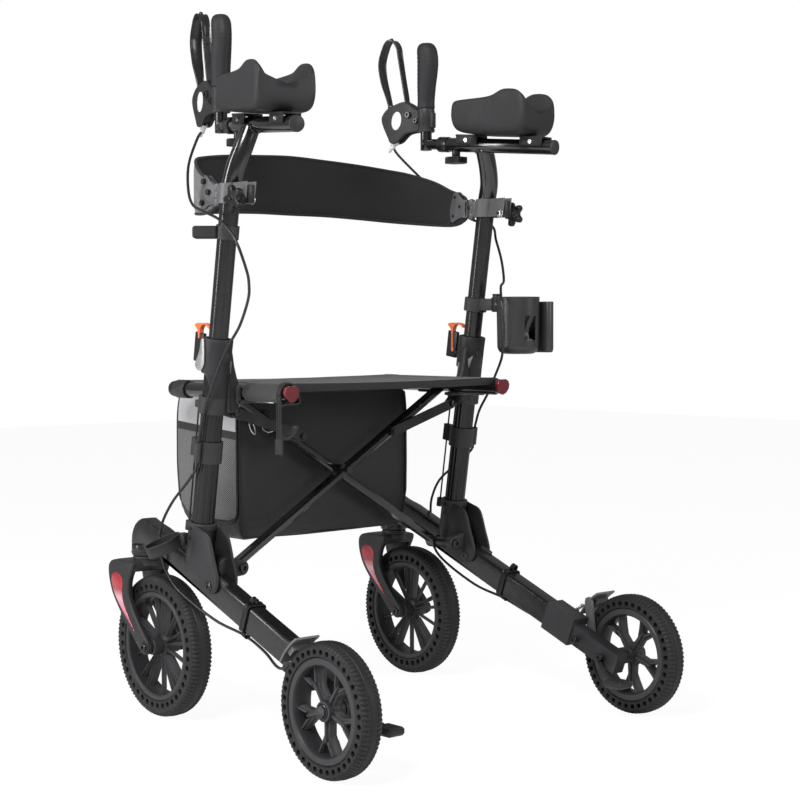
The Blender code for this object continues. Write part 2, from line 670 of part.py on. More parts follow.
def link_plates():
    """Each link with its far bolt, whose spacer ends just short of the bar."""
    near, far = Vector(LINK_RAIL), Vector(LINK_BAR)
    for side, name, bar_y in ((1, "right", BAR_A_Y), (-1, "left", BAR_B_Y)):
        flat = plate(capsule(near, far, 0.0085, 0.0085), LINK_THICK, (0, LINK_Y, 0), (0, -1, 0),
                     holes=[(*near, 0.004 + GAP)])
        head = rod((far.x, LINK_Y - 0.0066, far.y), (far.x, LINK_Y - 0.0015, far.y), 0.0062, 6)
        spacer = rod((far.x, LINK_Y, far.y), (far.x, bar_y - BAR_DEPTH / 2 - GAP, far.y), 0.0065)
        node("link_plate_" + name, fuse([flat, head, spacer]), (LINK_RAIL[0], LINK_Y, LINK_RAIL[1]),
             "frame",
             "link_" + name, side)


# Height part

def inner_post():
    path = [on_post(0.480), *smooth([on_post(0.868), on_post(0.887), (0.2781, 0.0333, 0.914),
                                     (0.269, 0.0268, 0.943),
                                     (0.2577, 0.0234, 0.974)], 2)]
    post = swept(path, INNER_POST_RADIUS, 6)
    tube = rod(arm_axis(-0.0056), arm_axis(0.241), ARM_RADIUS, 16)
    bush = rod(arm_axis(ARM_MOUTH + 0.0015), arm_axis(0.242), ARM_RADIUS + 0.0012, 16)
    boss = rod(arm_axis(0.207, -0.0216), arm_axis(0.207, -0.004), 0.0075, 12)
    bore = rod(arm_axis(0.130), arm_axis(0.26), EXTENSION_RADIUS + SLIDE_GAP, 16)
    thread = rod(arm_axis(0.207, -0.03), arm_axis(0.207), 0.003 + GAP, 10)
    pair("inner_post", fuse([post, tube, bush, boss], [bore, thread]), on_post(0.70), "frame", "height")


def extension_knob():
    top = arm_axis(0.207, -0.0219)
    down = (arm_axis(0.207, -1) - arm_axis(0.207)).normalized()
    outline = [((0.0198 + 0.0012 * math.cos(6 * a)) * math.cos(a),
                (0.0198 + 0.0012 * math.cos(6 * a)) * math.sin(a))
               for a in [2 * math.pi * k / 24 for k in range(24)]]
    disc = plate(outline, 0.011, top + down * 0.0058, (0, 0, 1), (0, 1, 0))
    screw = rod(top + down * 0.002, top - down * 0.010, 0.003, 10)
    pair("extension_knob", fuse([disc, screw]), top + down * 0.0058, "plastic", "height")


def backrest_clamp():
    at = 0.8716
    axis = on_post(at)
    shell = rod(on_post(0.8545), on_post(0.8866), INNER_POST_RADIUS + GAP + 0.0042, 16)
    lug = block((POST_X - 0.0006, axis.y + 0.029, at), (0.012, 0.022, 0.032))
    barrel = rod((POST_X - 0.0006, 0.0809, 0.8536), (POST_X - 0.0006, 0.0809, 0.8896), 0.0062, 12)
    leaf = plate([(0.080, 0.8560), (0.080, 0.8870), (0.096, 0.8895), (0.102, 0.9000), (0.112, 0.9055),
                  (0.124, 0.9050),
                  (0.132, 0.8980), (0.1325, 0.8700), (0.1310, 0.8580), (0.124, 0.8510), (0.112, 0.8500),
                  (0.100, 0.8545)], 0.0025, (0.2808, 0, 0), (1, 0, 0),
                 holes=[(0.112, 0.892, 0.0028), (0.112, 0.865, 0.0028)])
    ears = block((POST_X, 0.011, 0.868), (0.016, 0.044, 0.034))
    hole = rod(on_post(0.84), on_post(0.90), INNER_POST_RADIUS + SLIDE_GAP, 16)
    slit = block((POST_X, 0.005, 0.868), (0.005, 0.052, 0.05))
    bolt_hole = rod((POST_X - 0.02, *STAR_AT), (POST_X + 0.02, *STAR_AT), 0.003 + GAP, 10)
    pair("backrest_clamp", fuse([shell, lug, barrel, leaf, ears], [hole, slit, bolt_hole]),
         (POST_X, axis.y, at),
         "sheet", "height")


def star_knob():
    outline = [((0.0198 + 0.0032 * math.cos(5 * a)) * math.cos(a),
                (0.0198 + 0.0032 * math.cos(5 * a)) * math.sin(a))
               for a in [2 * math.pi * k / 20 for k in range(20)]]
    x = POST_X + 0.008 + GAP
    star = plate(outline, 0.0125, (x + 0.0175, *STAR_AT), (1, 0, 0))
    neck = rod((x, *STAR_AT), (x + 0.013, *STAR_AT), 0.008, 16)
    bolt = rod((POST_X - 0.013, *STAR_AT), (x + 0.0275, *STAR_AT), 0.003, 10)
    pair("star_knob", fuse([star, neck, bolt]), (x + 0.0175, *STAR_AT), "plastic", "height")


def forearm_pad():
    outline = [(44, 18), (168, 18), (180, 25), (183, 36), (183, 66), (177, 75), (101, 83), (76, 96),
               (48, 97), (37, 88),
               (28, 70), (27, 50), (33, 30)]
    outline = [(a / 1000, (b + ARM_SLOPE * a) / 1000) for a, b in outline]
    body = plate(outline, 0.104, ARM_CAP, ARM_SIDE, bevel=0.005)
    half = [(0.040, 0.13), (0.040, 0.073), (0.037, 0.062), (0.029, 0.0545), (0.015, 0.0505)]
    trough = [*half, *[(-a, b) for a, b in reversed(half)]]
    sections = [[arm_axis(h, b, a) for a, b in trough] for h in (0.0, 0.22)]
    cutter = loft(sections)
    feet = []
    for middle in (0.173, 0.036):
        feet.append(block(arm_axis(middle, 0.0105), (0.034, 0.050, 0.021), ARM_TURN))
    tube_space = rod(arm_axis(-0.02), arm_axis(0.23), ARM_RADIUS + GAP, 16)
    under = block(arm_axis(0.10, -0.0075), (2 * (ARM_RADIUS + GAP), 0.26, 0.017), ARM_TURN)
    pair("forearm_pad", fuse([body, *feet], [cutter, tube_space, under]), arm_axis(0.10, 0.03), "foam",
         "height")


# Handle part

def extension():
    tube = rod(arm_axis(0.135), arm_axis(STEM_AT), EXTENSION_RADIUS, 16)
    stem = rod(arm(STEM_AT, 0.005), arm(STEM_AT, 0.150), STEM_RADIUS, 16)
    collar = rod(arm(STEM_AT, 0.045), arm(STEM_AT, 0.0875), 0.01575, 16)
    outline = [(353, 95), (340, 99), (320, 103), (305, 97), (292, 87.4), (276, 80), (276, 52), (288, 46),
               (315, 44),
               (329, 33), (341, 28), (350, 28), (356, 39), (366, 58), (372, 75), (364, 86)]
    housing = plate([(a / 1000, b / 1000) for a, b in outline], 0.019, ARM_CAP, ARM_SIDE)
    slot_outline = [(0.290, 0.12), (0.295, 0.074), (0.304, 0.0655), (0.320, 0.0665), (0.345, 0.078),
                    (0.367, 0.083),
                    (0.385, 0.12)]
    slot = plate(slot_outline, 0.0150, ARM_CAP, ARM_SIDE)
    pivot = rod(arm(*LEVER_PIVOT, -0.0105), arm(*LEVER_PIVOT, 0.0105), 0.00425, 12)
    bolt = rod(arm(0.289, 0.066, -0.0115), arm(0.289, 0.066, 0.0115), 0.004, 10)
    body = fuse([tube, stem, collar, housing], [slot])
    pair("extension", fuse([body, pivot, bolt]), arm_axis(0.2), "frame", "handle")


def brake_lever():
    hub = [(299, 81), (300, 74), (306, 70), (313, 70.5), (322, 77), (345, 87), (358, 91), (360, 97),
           (356, 101),
           (350, 99), (340, 95), (326, 98), (321, 104), (315, 104), (307, 91)]
    base = plate([(a / 1000, b / 1000) for a, b in hub], 0.012, ARM_CAP, ARM_SIDE,
                 holes=[(*LEVER_PIVOT, 0.00425 + GAP)])
    line = [(317, 98, 12), (320, 115, 14), (326, 145, 14), (333, 182, 15), (336, 200, 16), (340, 209, 17),
            (347, 216, 18), (356, 218, 19), (362, 214, 20), (367, 206, 21), (375, 185, 22), (376, 168, 22),
            (373, 150, 21), (369, 135, 20), (362, 115, 16), (356, 96, 12)]
    path = [arm(a / 1000, b / 1000) for a, b, _ in line]
    loop = band(path, [c / 1000 for _, _, c in line], 0.0032, ARM_SIDE)
    pair("brake_lever", fuse([base, loop]), arm(*LEVER_PIVOT), "plastic", "handle")


def grip():
    sections = []
    for height, shift, long, wide in ((0.0878, 0, 0.0165, 0.016), (0.100, 0, 0.0165, 0.016),
                                      (0.125, -0.001, 0.0185, 0.0165),
                                      (0.150, -0.003, 0.021, 0.0168), (0.172, -0.004, 0.022, 0.0168),
                                      (0.190, -0.0025, 0.021, 0.0165), (0.200, -0.001, 0.018, 0.0145),
                                      (0.206, 0, 0.012, 0.010)):
        sections.append([arm(STEM_AT + shift + long * math.cos(a), height, wide * math.sin(a))
                         for a in [2 * math.pi * k / 16 for k in range(16)]])
    body = loft(sections)
    bore = rod(arm(STEM_AT, 0.08), arm(STEM_AT, 0.151), STEM_RADIUS + GAP, 16)
    pair("grip", fuse([body], [bore]), arm(STEM_AT, 0.15), "rubber", "handle")


# Cables: the upper runs differ, because the right one goes round the cup holder

CABLE_TOP = [(0.2125, 0.2212, 0.9915), (0.2260, 0.2185, 0.9743), (0.2620, 0.1900, 0.9284),
             (0.2900, 0.1500, 0.8832),
             (0.3080, 0.1104, 0.8560), (0.3160, 0.0651, 0.8422)]
CABLE_LEFT = [(0.3200, 0.0156, 0.8254), (0.3180, -0.0200, 0.7942), (0.3080, -0.0345, 0.7480),
              (0.3020, -0.0328, 0.7248),
              (0.3000, -0.0272, 0.7017), (0.3000, -0.0055, 0.6628), (0.3020, 0.0190, 0.6345),
              (0.3030, 0.0397, 0.6090),
              (0.3050, 0.0593, 0.5752), (0.3065, 0.0760, 0.5428), (0.3068, 0.0905, 0.5100)]
CABLE_RIGHT = [(0.3120, 0.0500, 0.8154), (0.3000, 0.0240, 0.7790), (0.2820, -0.0007, 0.7421),
               (0.2560, -0.0200, 0.7300), (0.2440, -0.0360, 0.7180), (0.2400, -0.0430, 0.7000),
               (0.2395, -0.0440, 0.6750),
               (0.2395, -0.0440, 0.6424), (0.2440, -0.0360, 0.6120), (0.2520, -0.0228, 0.5960),
               (0.2700, 0.0095, 0.5705), (0.2900, 0.0480, 0.5387), (0.3035, 0.0850, 0.5060)]
CABLE_LOW = [(0.3050, 0.1150, 0.4260), (0.3010, 0.1500, 0.4000), (0.2990, 0.1900, 0.3700),
             (0.3025, 0.2150, 0.3350),
             (0.3045, 0.2210, 0.3050), (0.3035, 0.2170, 0.2750), (0.2980, 0.2060, 0.2457),
             (0.2950, 0.1714, 0.2190),
             (0.2900, 0.0826, 0.1850), (0.2870, 0.0055, 0.1700), (0.2890, -0.0500, 0.1520),
             (0.2980, -0.0900, 0.1380),
             (0.3050, -0.1150, 0.1370), (0.3060, -0.1300, 0.1440), (0.3070, -0.1450, 0.1560)]


def cables():
    strap = Vector(CABLE_STRAP)
    split = strap - POST_UP * 0.020
    for side, name, run in ((1, "right", CABLE_RIGHT), (-1, "left", CABLE_LEFT)):
        upper = smooth([*CABLE_TOP, *run, strap], 2)
        solid = swept([*upper, split + POST_UP * GAP], CABLE_RADIUS, 1)
        node("cable_upper_" + name, solid, CABLE_TOP[0], "plastic", "height_" + name, side)
    lower = smooth([strap - POST_UP * 0.042, *CABLE_LOW], 2)
    cord = swept([split - POST_UP * GAP, *lower], CABLE_RADIUS, 1)
    last, before = Vector(CABLE_LOW[-1]), Vector(CABLE_LOW[-2])
    along = (last - before).normalized()
    sleeve = rod(last - along * 0.002, last + along * 0.022, 0.0038, 10)
    tip = rod(last + along * 0.020, last + along * 0.034, 0.0015, 8)
    pair("cable_lower", fuse([cord, sleeve, tip]), split, "plastic", "side")


# Folding cross

def bar(y):
    """The pieces of a bar: beam, eye at its low left end and seat rail on the right."""
    low = Vector((-PIVOT_X, y, PIVOT_Z))
    high = Vector((RAIL_X, y, RAIL_Z))
    along = (high - low).normalized()
    turn = Matrix((along, Vector((0, 1, 0)), along.cross(Vector((0, 1, 0))))).transposed()
    beam = block((low + high) / 2, ((high - low).length, BAR_DEPTH, BAR_THICK), turn, 0.003)
    eye = rod(low - Vector((0, BAR_DEPTH / 2, 0)), low + Vector((0, BAR_DEPTH / 2, 0)), 0.0115, 16)
    rail = rod((RAIL_X, RAIL_REAR, RAIL_Z), (RAIL_X, RAIL_FRONT, RAIL_Z), RAIL_RADIUS, 16)
    return [beam, eye, rail], low


def brace_a():
    pieces, low = bar(BAR_A_Y)
    half = BAR_DEPTH / 2
    back = BAR_A_Y - half
    pieces.append(rod((0, back - 0.001, CROSS_Z), (0, BAR_B_Y + half + 0.006, CROSS_Z), 0.004, 12))
    pieces.append(rod((0, back - 0.0055, CROSS_Z), (0, back + 0.001, CROSS_Z), 0.0068, 6))
    pieces.append(rod((0, BAR_A_Y, CROSS_Z), (0, BAR_B_Y - half - GAP, CROSS_Z), 0.0095, 16))
    pieces.append(rod((0, BAR_B_Y + half + GAP, CROSS_Z), (0, BAR_B_Y + half + 0.0055, CROSS_Z), 0.0075, 6))
    pieces.append(rod((0.1687, back - 0.0011, 0.5162), (0.1687, back + 0.001, 0.5162), 0.006, 6))
    eye_hole = rod(low - Vector((0, 0.03, 0)), low + Vector((0, 0.03, 0)), PIN_RADIUS + GAP, 16)
    plug = rod((RAIL_X, RAIL_REAR - 0.01, RAIL_Z), (RAIL_X, RAIL_REAR + 0.012, RAIL_Z), PLUG_RADIUS + GAP,
               16)
    node("brace_a", fuse(pieces, [eye_hole, plug]), (low.x, low.y, low.z), "frame", "fold")


def brace_b():
    pieces, low = bar(BAR_B_Y)
    eye_hole = rod(low - Vector((0, 0.03, 0)), low + Vector((0, 0.03, 0)), PIN_RADIUS + GAP, 16)
    center = rod((0, BAR_B_Y - 0.02, CROSS_Z), (0, BAR_B_Y + 0.02, CROSS_Z), 0.004 + GAP, 12)
    plug = rod((RAIL_X, RAIL_REAR - 0.01, RAIL_Z), (RAIL_X, RAIL_REAR + 0.012, RAIL_Z), PLUG_RADIUS + GAP,
               16)
    node("brace_b", fuse(pieces, [eye_hole, center, plug]), (0, BAR_B_Y, CROSS_Z), "frame", "cross", -1)


def reflectors():
    for side, name in ((1, "right"), (-1, "left")):
        face = plate([(x * 0.0145, z * 0.0145) for x, z in
                      ((0, -1), (0.5, -0.75), (0.9, -0.25), (1.0, 0.25), (0.8, 0.7), (0.4, 0.9), (0, 0.8),
                       (-0.4, 0.9), (-0.8, 0.7), (-1.0, 0.25), (-0.9, -0.25), (-0.5, -0.75))],
                     0.007, (RAIL_X, RAIL_REAR - 0.0038, RAIL_Z), (0, -1, 0))
        stud = rod((RAIL_X, RAIL_REAR - 0.004, RAIL_Z), (RAIL_X, RAIL_REAR + 0.010, RAIL_Z), PLUG_RADIUS,
                   16)
        node("reflector_" + name, fuse([face, stud]), (RAIL_X, RAIL_REAR - 0.004, RAIL_Z), "red",
             "fold" if side > 0 else "cross", side)


# Soft goods

def seat():
    inner = RAIL_RADIUS + GAP
    outer = inner + SEAT_THICK
    middle = (SEAT_REAR + SEAT_FRONT) / 2
    length = SEAT_FRONT - SEAT_REAR
    top = block((0, middle, RAIL_Z + inner + SEAT_THICK / 2), (2 * RAIL_X, length, SEAT_THICK))
    pieces = [top]
    spaces = []
    for x in (RAIL_X, -RAIL_X):
        pieces.append(rod((x, SEAT_REAR, RAIL_Z), (x, SEAT_FRONT, RAIL_Z), outer, 16))
        spaces.append(rod((x, SEAT_REAR - 0.01, RAIL_Z), (x, SEAT_FRONT + 0.01, RAIL_Z), inner, 16))
        sign = 1 if x > 0 else -1
        gate = (0.064, 0.122) if x > 0 else (0.064, 0.152)
        spaces.append(block((x - sign * 0.01, (gate[0] + gate[1]) / 2, RAIL_Z - 0.009),
                            (0.08, gate[1] - gate[0], 0.0428)))
    hem = block((0, SEAT_REAR + 0.006, RAIL_Z + inner - 0.001), (2 * RAIL_X - 0.04, 0.012, 0.006))
    node("seat", fuse([*pieces, hem], spaces), (0, middle, RAIL_Z), "fabric", "soft")


def bag():
    sections = []
    for z, wide, back, front in ((0.300, 0.90, 0.166, 0.262), (0.312, 0.955, 0.160, 0.288),
                                 (0.345, 0.99, 0.157, 0.322),
                                 (0.400, 1.0, 0.156, 0.340), (0.450, 1.0, 0.156, 0.338),
                                 (0.500, 0.99, 0.156, 0.318),
                                 (0.530, 0.975, 0.157, 0.298), (0.545, 0.965, 0.158, 0.290)):
        half = BAG_HALF * wide
        side = back + (front - back) * 0.62
        sections.append([(half, back, z), (half + 0.001, (back + side) / 2, z), (half, side, z),
                         (half * 0.93, side + (front - side) * 0.42, z),
                         (half * 0.72, side + (front - side) * 0.80, z),
                         (half * 0.40, front, z), (-half * 0.40, front, z),
                         (-half * 0.72, side + (front - side) * 0.80, z),
                         (-half * 0.93, side + (front - side) * 0.42, z), (-half, side, z),
                         (-half - 0.001, (back + side) / 2, z), (-half, back, z)])
    body = loft(sections)
    reach = RAIL_X - RAIL_RADIUS - GAP - SEAT_THICK - GAP
    flaps = [block((sign * (reach + 0.165) / 2, 0.21, 0.5490),
                   (reach - 0.165, 0.060, 0.010)) for sign in (1, -1)]
    node("bag", fuse([body, *flaps]), (0, 0.21, 0.42), "fabric", "soft")


def belt():
    plan = [(BELT_X, 0.0890, 0.8560, 0.8890), (BELT_X, 0.0930, 0.8510, 0.8950),
            (BELT_X, 0.110, 0.8440, 0.9030),
            (BELT_X - 0.001, 0.132, 0.8420, 0.9100), (0.2635, 0.165, 0.8440, 0.9270),
            (0.2370, 0.204, 0.8480, 0.9420),
            (0.2050, 0.226, 0.8510, 0.9490), (0.1500, 0.243, 0.8550, 0.9560),
            (0.0750, 0.252, 0.8580, 0.9610),
            (0, 0.255, 0.8580, 0.9640)]
    plan = plan + [(-x, y, low, high) for x, y, low, high in reversed(plan[:-1])]
    sections = []
    for i, (x, y, low, high) in enumerate(plan):
        before = plan[max(i - 1, 0)]
        after = plan[min(i + 1, len(plan) - 1)]
        along = Vector((after[0] - before[0], after[1] - before[1], 0)).normalized()
        deep = Vector((-along.y, along.x, 0)) * BELT_THICK / 2
        place = Vector((x, y, 0))
        up = Vector((0, 0, 1))
        edge = 0.003
        sections.append([place - deep + up * (low + edge), place - deep + up * (high - edge),
                         place - deep * 0.4 + up * high, place + deep * 0.4 + up * high,
                         place + deep + up * (high - edge), place + deep + up * (low + edge),
                         place + deep * 0.4 + up * low, place - deep * 0.4 + up * low])
    node("belt", loft(sections), (-BELT_X, 0.0890, 0.872), "fabric", "height_left")


# Pieces on one side only

def cane_cup():
    center = Vector((0.3175, 0.184, 0.300))
    lean = Vector((0, 0.30, 1)).normalized()
    outer = ring(center, lean, 0.0300, 0.0272, -0.010, 0.010, 20)
    flat = block((LEG_X + LEG_WIDTH / 2 + 0.0035, 0.184, 0.298), (0.006, 0.054, 0.034), LEG_TURN)
    leg_side = block((LEG_X, 0.180, 0.29), (LEG_WIDTH + 0.001, 0.16, 0.2))
    bracket_side = block((LEG_X, 0.100, 0.28), (0.0430, 0.106, 0.2))
    node("cane_cup", fuse([outer, flat], [leg_side, bracket_side]), center, "plastic", "side_left", -1)


def cane_clip():
    low = 0.8000
    high = 0.8215
    band_ring = rod(on_post(low), on_post(high), INNER_POST_RADIUS + GAP + 0.0028, 16)
    hole = rod(on_post(low - 0.02), on_post(high + 0.02), INNER_POST_RADIUS + SLIDE_GAP, 16)
    away = Vector((0.755, 0.655, 0))
    middle = on_post((low + high) / 2)
    turn = Matrix((away, Vector((-away.y, away.x, 0)), Vector((0, 0, 1)))).transposed()
    outside = block(middle + away * 0.035, (0.040, 0.028, 0.020), turn, 0.003)
    inside = block(middle + away * 0.036, (0.034, 0.022, 0.04), turn)
    arm_block = block(middle + away * 0.0175, (0.006, 0.018, 0.018), turn)
    node("cane_clip", fuse([band_ring, outside, arm_block], [inside, hole]), middle, "plastic",
         "height_left", -1)


def cane_hook():
    y = RAIL_REAR + 0.0070
    loop = rod((RAIL_X, y - 0.0055, RAIL_Z), (RAIL_X, y + 0.0055, RAIL_Z), RAIL_RADIUS + GAP + 0.003, 16)
    hole = rod((RAIL_X, y - 0.02, RAIL_Z), (RAIL_X, y + 0.02, RAIL_Z), RAIL_RADIUS + GAP, 16)
    strip = block((RAIL_X + 0.0160, y, 0.520), (0.0040, 0.0105, 0.076))
    hook = swept(smooth([(0.2484, y, 0.486), (0.2420, y, 0.480), (0.2300, y, 0.484), (0.2180, y, 0.494),
                         (0.2140, y, 0.502)], 2), 0.0030, 0)
    tag = block((0.2484, y, 0.472), (0.012, 0.003, 0.024))
    node("cane_hook", fuse([loop, strip, hook, tag], [hole]), (RAIL_X, y, RAIL_Z), "plastic", "cross", -1)


def cup_holder():
    low = 0.6115
    high = 0.7117
    wall = CUP_WALL
    cup = turned([(0, low), (CUP_RADIUS - 0.012, low), (CUP_RADIUS - 0.003, low + 0.009),
                  (CUP_RADIUS, high),
                  (CUP_RADIUS - wall, high), (CUP_RADIUS - 0.003 - wall, low + 0.011),
                  (CUP_RADIUS - 0.013, low + wall + 0.001), (0, low + wall + 0.001)],
                 (CUP_X, CUP_Y, 0), (0, 0, 1), 20)
    slot_x = (CUP_X + CUP_RADIUS + 0.0015, 0.3490)
    box = block((sum(slot_x) / 2, -0.025, 0.658), (slot_x[1] - slot_x[0], 0.076, 0.091))
    room = block((sum(slot_x) / 2, -0.025, 0.662), (slot_x[1] - slot_x[0] - 2 * wall, 0.076 - 2 * wall,
                                                    0.094))
    bridge = block((slot_x[0] - 0.0015, CUP_Y, 0.690), (0.0070, 0.024, 0.020))
    grip_ring = rod(on_post(0.687), on_post(0.711), INNER_POST_RADIUS + GAP + 0.0045, 16)
    arm_y = (CUP_Y + CUP_RADIUS - 0.0025, 0.0555)
    arm_block = block((POST_X, sum(arm_y) / 2, 0.6985), (0.020, arm_y[1] - arm_y[0], 0.017))
    post_hole = rod(on_post(0.66), on_post(0.74), INNER_POST_RADIUS + SLIDE_GAP, 16)
    node("cup_holder", fuse([cup, box, bridge, grip_ring, arm_block], [room, post_hole]),
         (CUP_X, CUP_Y, low), "plastic", "height_right")


for old in list(bpy.data.objects):
    bpy.data.objects.remove(old)
rollator = bpy.data.collections.new("rollator")
bpy.context.scene.collection.children.link(rollator)

leg()
outer_post()
lower_bracket(1)
lower_bracket(-1)
upper_bracket()
latch_lever()
cable_strap()
leg_end()
brake_shoe()
wheels()
caster_fork()
link_plates()
inner_post()
extension_knob()
backrest_clamp()
star_knob()
forearm_pad()
extension()
brake_lever()
grip()
cables()
brace_a()
brace_b()
reflectors()
seat()
bag()
belt()
cane_cup()
cane_clip()
cane_hook()
cup_holder()
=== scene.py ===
"""Looks of the rollator: finer pieces, materials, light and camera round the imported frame.

Metres. +X is the user's right, +Y the way forward, +Z up. Pieces are modelled on the right and mirrored.
"""

import json
import math

import bmesh
import bpy
from mathutils import Matrix, Vector, noise

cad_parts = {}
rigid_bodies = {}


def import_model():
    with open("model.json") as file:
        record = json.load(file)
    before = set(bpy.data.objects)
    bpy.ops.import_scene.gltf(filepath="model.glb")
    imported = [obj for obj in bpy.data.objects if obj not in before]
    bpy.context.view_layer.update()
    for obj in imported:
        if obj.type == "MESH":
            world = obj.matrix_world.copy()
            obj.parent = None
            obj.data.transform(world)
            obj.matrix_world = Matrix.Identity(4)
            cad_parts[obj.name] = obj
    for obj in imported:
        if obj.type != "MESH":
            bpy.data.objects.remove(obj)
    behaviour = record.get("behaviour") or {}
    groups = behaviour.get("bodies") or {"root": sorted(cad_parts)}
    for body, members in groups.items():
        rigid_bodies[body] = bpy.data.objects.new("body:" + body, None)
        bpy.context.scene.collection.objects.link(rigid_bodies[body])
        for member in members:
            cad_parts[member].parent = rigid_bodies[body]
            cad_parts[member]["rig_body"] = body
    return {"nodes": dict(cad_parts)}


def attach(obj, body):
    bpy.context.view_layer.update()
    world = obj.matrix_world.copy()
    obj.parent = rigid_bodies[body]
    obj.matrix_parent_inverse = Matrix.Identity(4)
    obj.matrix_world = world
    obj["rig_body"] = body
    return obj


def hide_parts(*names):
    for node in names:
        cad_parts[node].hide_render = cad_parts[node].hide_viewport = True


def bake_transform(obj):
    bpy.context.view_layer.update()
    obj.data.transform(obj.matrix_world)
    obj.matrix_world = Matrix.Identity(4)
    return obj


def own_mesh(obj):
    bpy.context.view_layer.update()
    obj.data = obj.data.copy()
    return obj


for old in list(bpy.data.objects):
    bpy.data.objects.remove(old)
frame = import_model()
for obj in list(bpy.context.scene.objects):
    if obj.type in ("MESH", "EMPTY") and "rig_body" not in obj and not obj.name.startswith("body:"):
        bpy.data.objects.remove(obj)
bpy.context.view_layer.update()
bpy.context.scene.view_settings.view_transform = "Standard"

# Sizes repeated from the part

REAR_RADIUS = 0.1016
REAR_WIDTH = 0.037
REAR_WHEEL = Vector((0.3303, -0.2667, 0.1016))
FRONT_RADIUS = 0.1205
FRONT_WIDTH = 0.039
FRONT_WHEEL = Vector((0.2804, 0.248, 0.1205))
CASTER = (0.2804, 0.3)
LEG_X = 0.283
POST_X = 0.281
POST_Y = 0.1277
POST_Z = 0.3411
POST_LEAN = 0.15773
OUTER_POST_RADIUS = 0.0185
INNER_POST_RADIUS = 0.016
RAIL_X = 0.2324
RAIL_Z = 0.5541
RAIL_RADIUS = 0.0125
ARM_RADIUS = 0.0127
ARM_CAP = (0.2794, -0.1241, 0.9678)
STEM_AT = 0.2745

OUT = (1, 0, 0)
UP = (0, 0, 1)
POST_UP = Vector((0, -POST_LEAN, 1)).normalized()
POST_AHEAD = Vector((0, POST_UP.z, -POST_UP.y))
POST_TURN = Matrix((OUT, POST_AHEAD, POST_UP)).transposed()
LEG_ALONG = Vector((0, 1, 0.39)).normalized()
LEG_UP = Vector((0, -LEG_ALONG.z, LEG_ALONG.y))
LEG_TURN = Matrix((OUT, LEG_ALONG, LEG_UP)).transposed()
ARM_FLAT = Vector((-0.19012, 0.98176, 0))
ARM_SIDE = Vector((0.98176, 0.19012, 0))
ARM_SLOPE = 0.0863
ARM_ALONG = (ARM_FLAT + Vector((0, 0, ARM_SLOPE))).normalized()


def on_post(z, ahead=0.0, side=0.0):
    """A point of the post axis at a height, or beside it."""
    return Vector((POST_X + side, POST_Y - POST_LEAN * (z - POST_Z), z)) + POST_AHEAD * ahead


def on_leg(y, up=0.0, side=0.0):
    """A point of the leg's middle line, or beside it."""
    return Vector((LEG_X + side, y, 0.204 + 0.39 * y)) + LEG_UP * up


def arm(along, height, side=0.0):
    """A point of the forearm frame: along from the rear cap, over it, and outward."""
    return Vector(ARM_CAP) + ARM_FLAT * along + Vector((0, 0, height)) + ARM_SIDE * side


def arm_axis(along, over=0.0, side=0.0):
    """A point over the axis of the forearm tube."""
    return arm(along, ARM_SLOPE * along + over, side)


# Materials


def shader_graph(name):
    material = bpy.data.materials.new(name)
    material.use_nodes = True
    tree = material.node_tree
    return material, tree, tree.nodes["Principled BSDF"]


def link(tree, source, output, target, socket):
    tree.links.new(source.outputs[output], target.inputs[socket])


def set_inputs(node, values):
    for name, value in values.items():
        node.inputs[name].default_value = value


def add_noise(tree, coordinates, scale, detail):
    made = tree.nodes.new("ShaderNodeTexNoise")
    set_inputs(made, {"Scale": scale, "Detail": detail, "Roughness": 0.55})
    link(tree, *coordinates, made, "Vector")
    return made


def add_bump(tree, source, output, strength, distance, under=None):
    """A bump from a height, over another bump where one is given."""
    made = tree.nodes.new("ShaderNodeBump")
    set_inputs(made, {"Strength": strength, "Distance": distance})
    link(tree, source, output, made, "Height")
    if under:
        link(tree, under, "Normal", made, "Normal")
    return made


def add_mix(tree):
    mix = tree.nodes.new("ShaderNodeMix")
    mix.data_type = "RGBA"
    return mix


def ramp_between(tree, source, output, low, high, first, last):
    """A colour ramp from one colour to another between two positions."""
    ramp = tree.nodes.new("ShaderNodeValToRGB")
    ramp.color_ramp.elements[0].position = low
    ramp.color_ramp.elements[0].color = first
    ramp.color_ramp.elements[1].position = high
    ramp.color_ramp.elements[1].color = last
    link(tree, source, output, ramp, "Fac")
    return ramp


def grey(value):
    return (value, value, value, 1)


CLOUD_SCALE = 14.0
GLOSS_SPREAD = 0.08


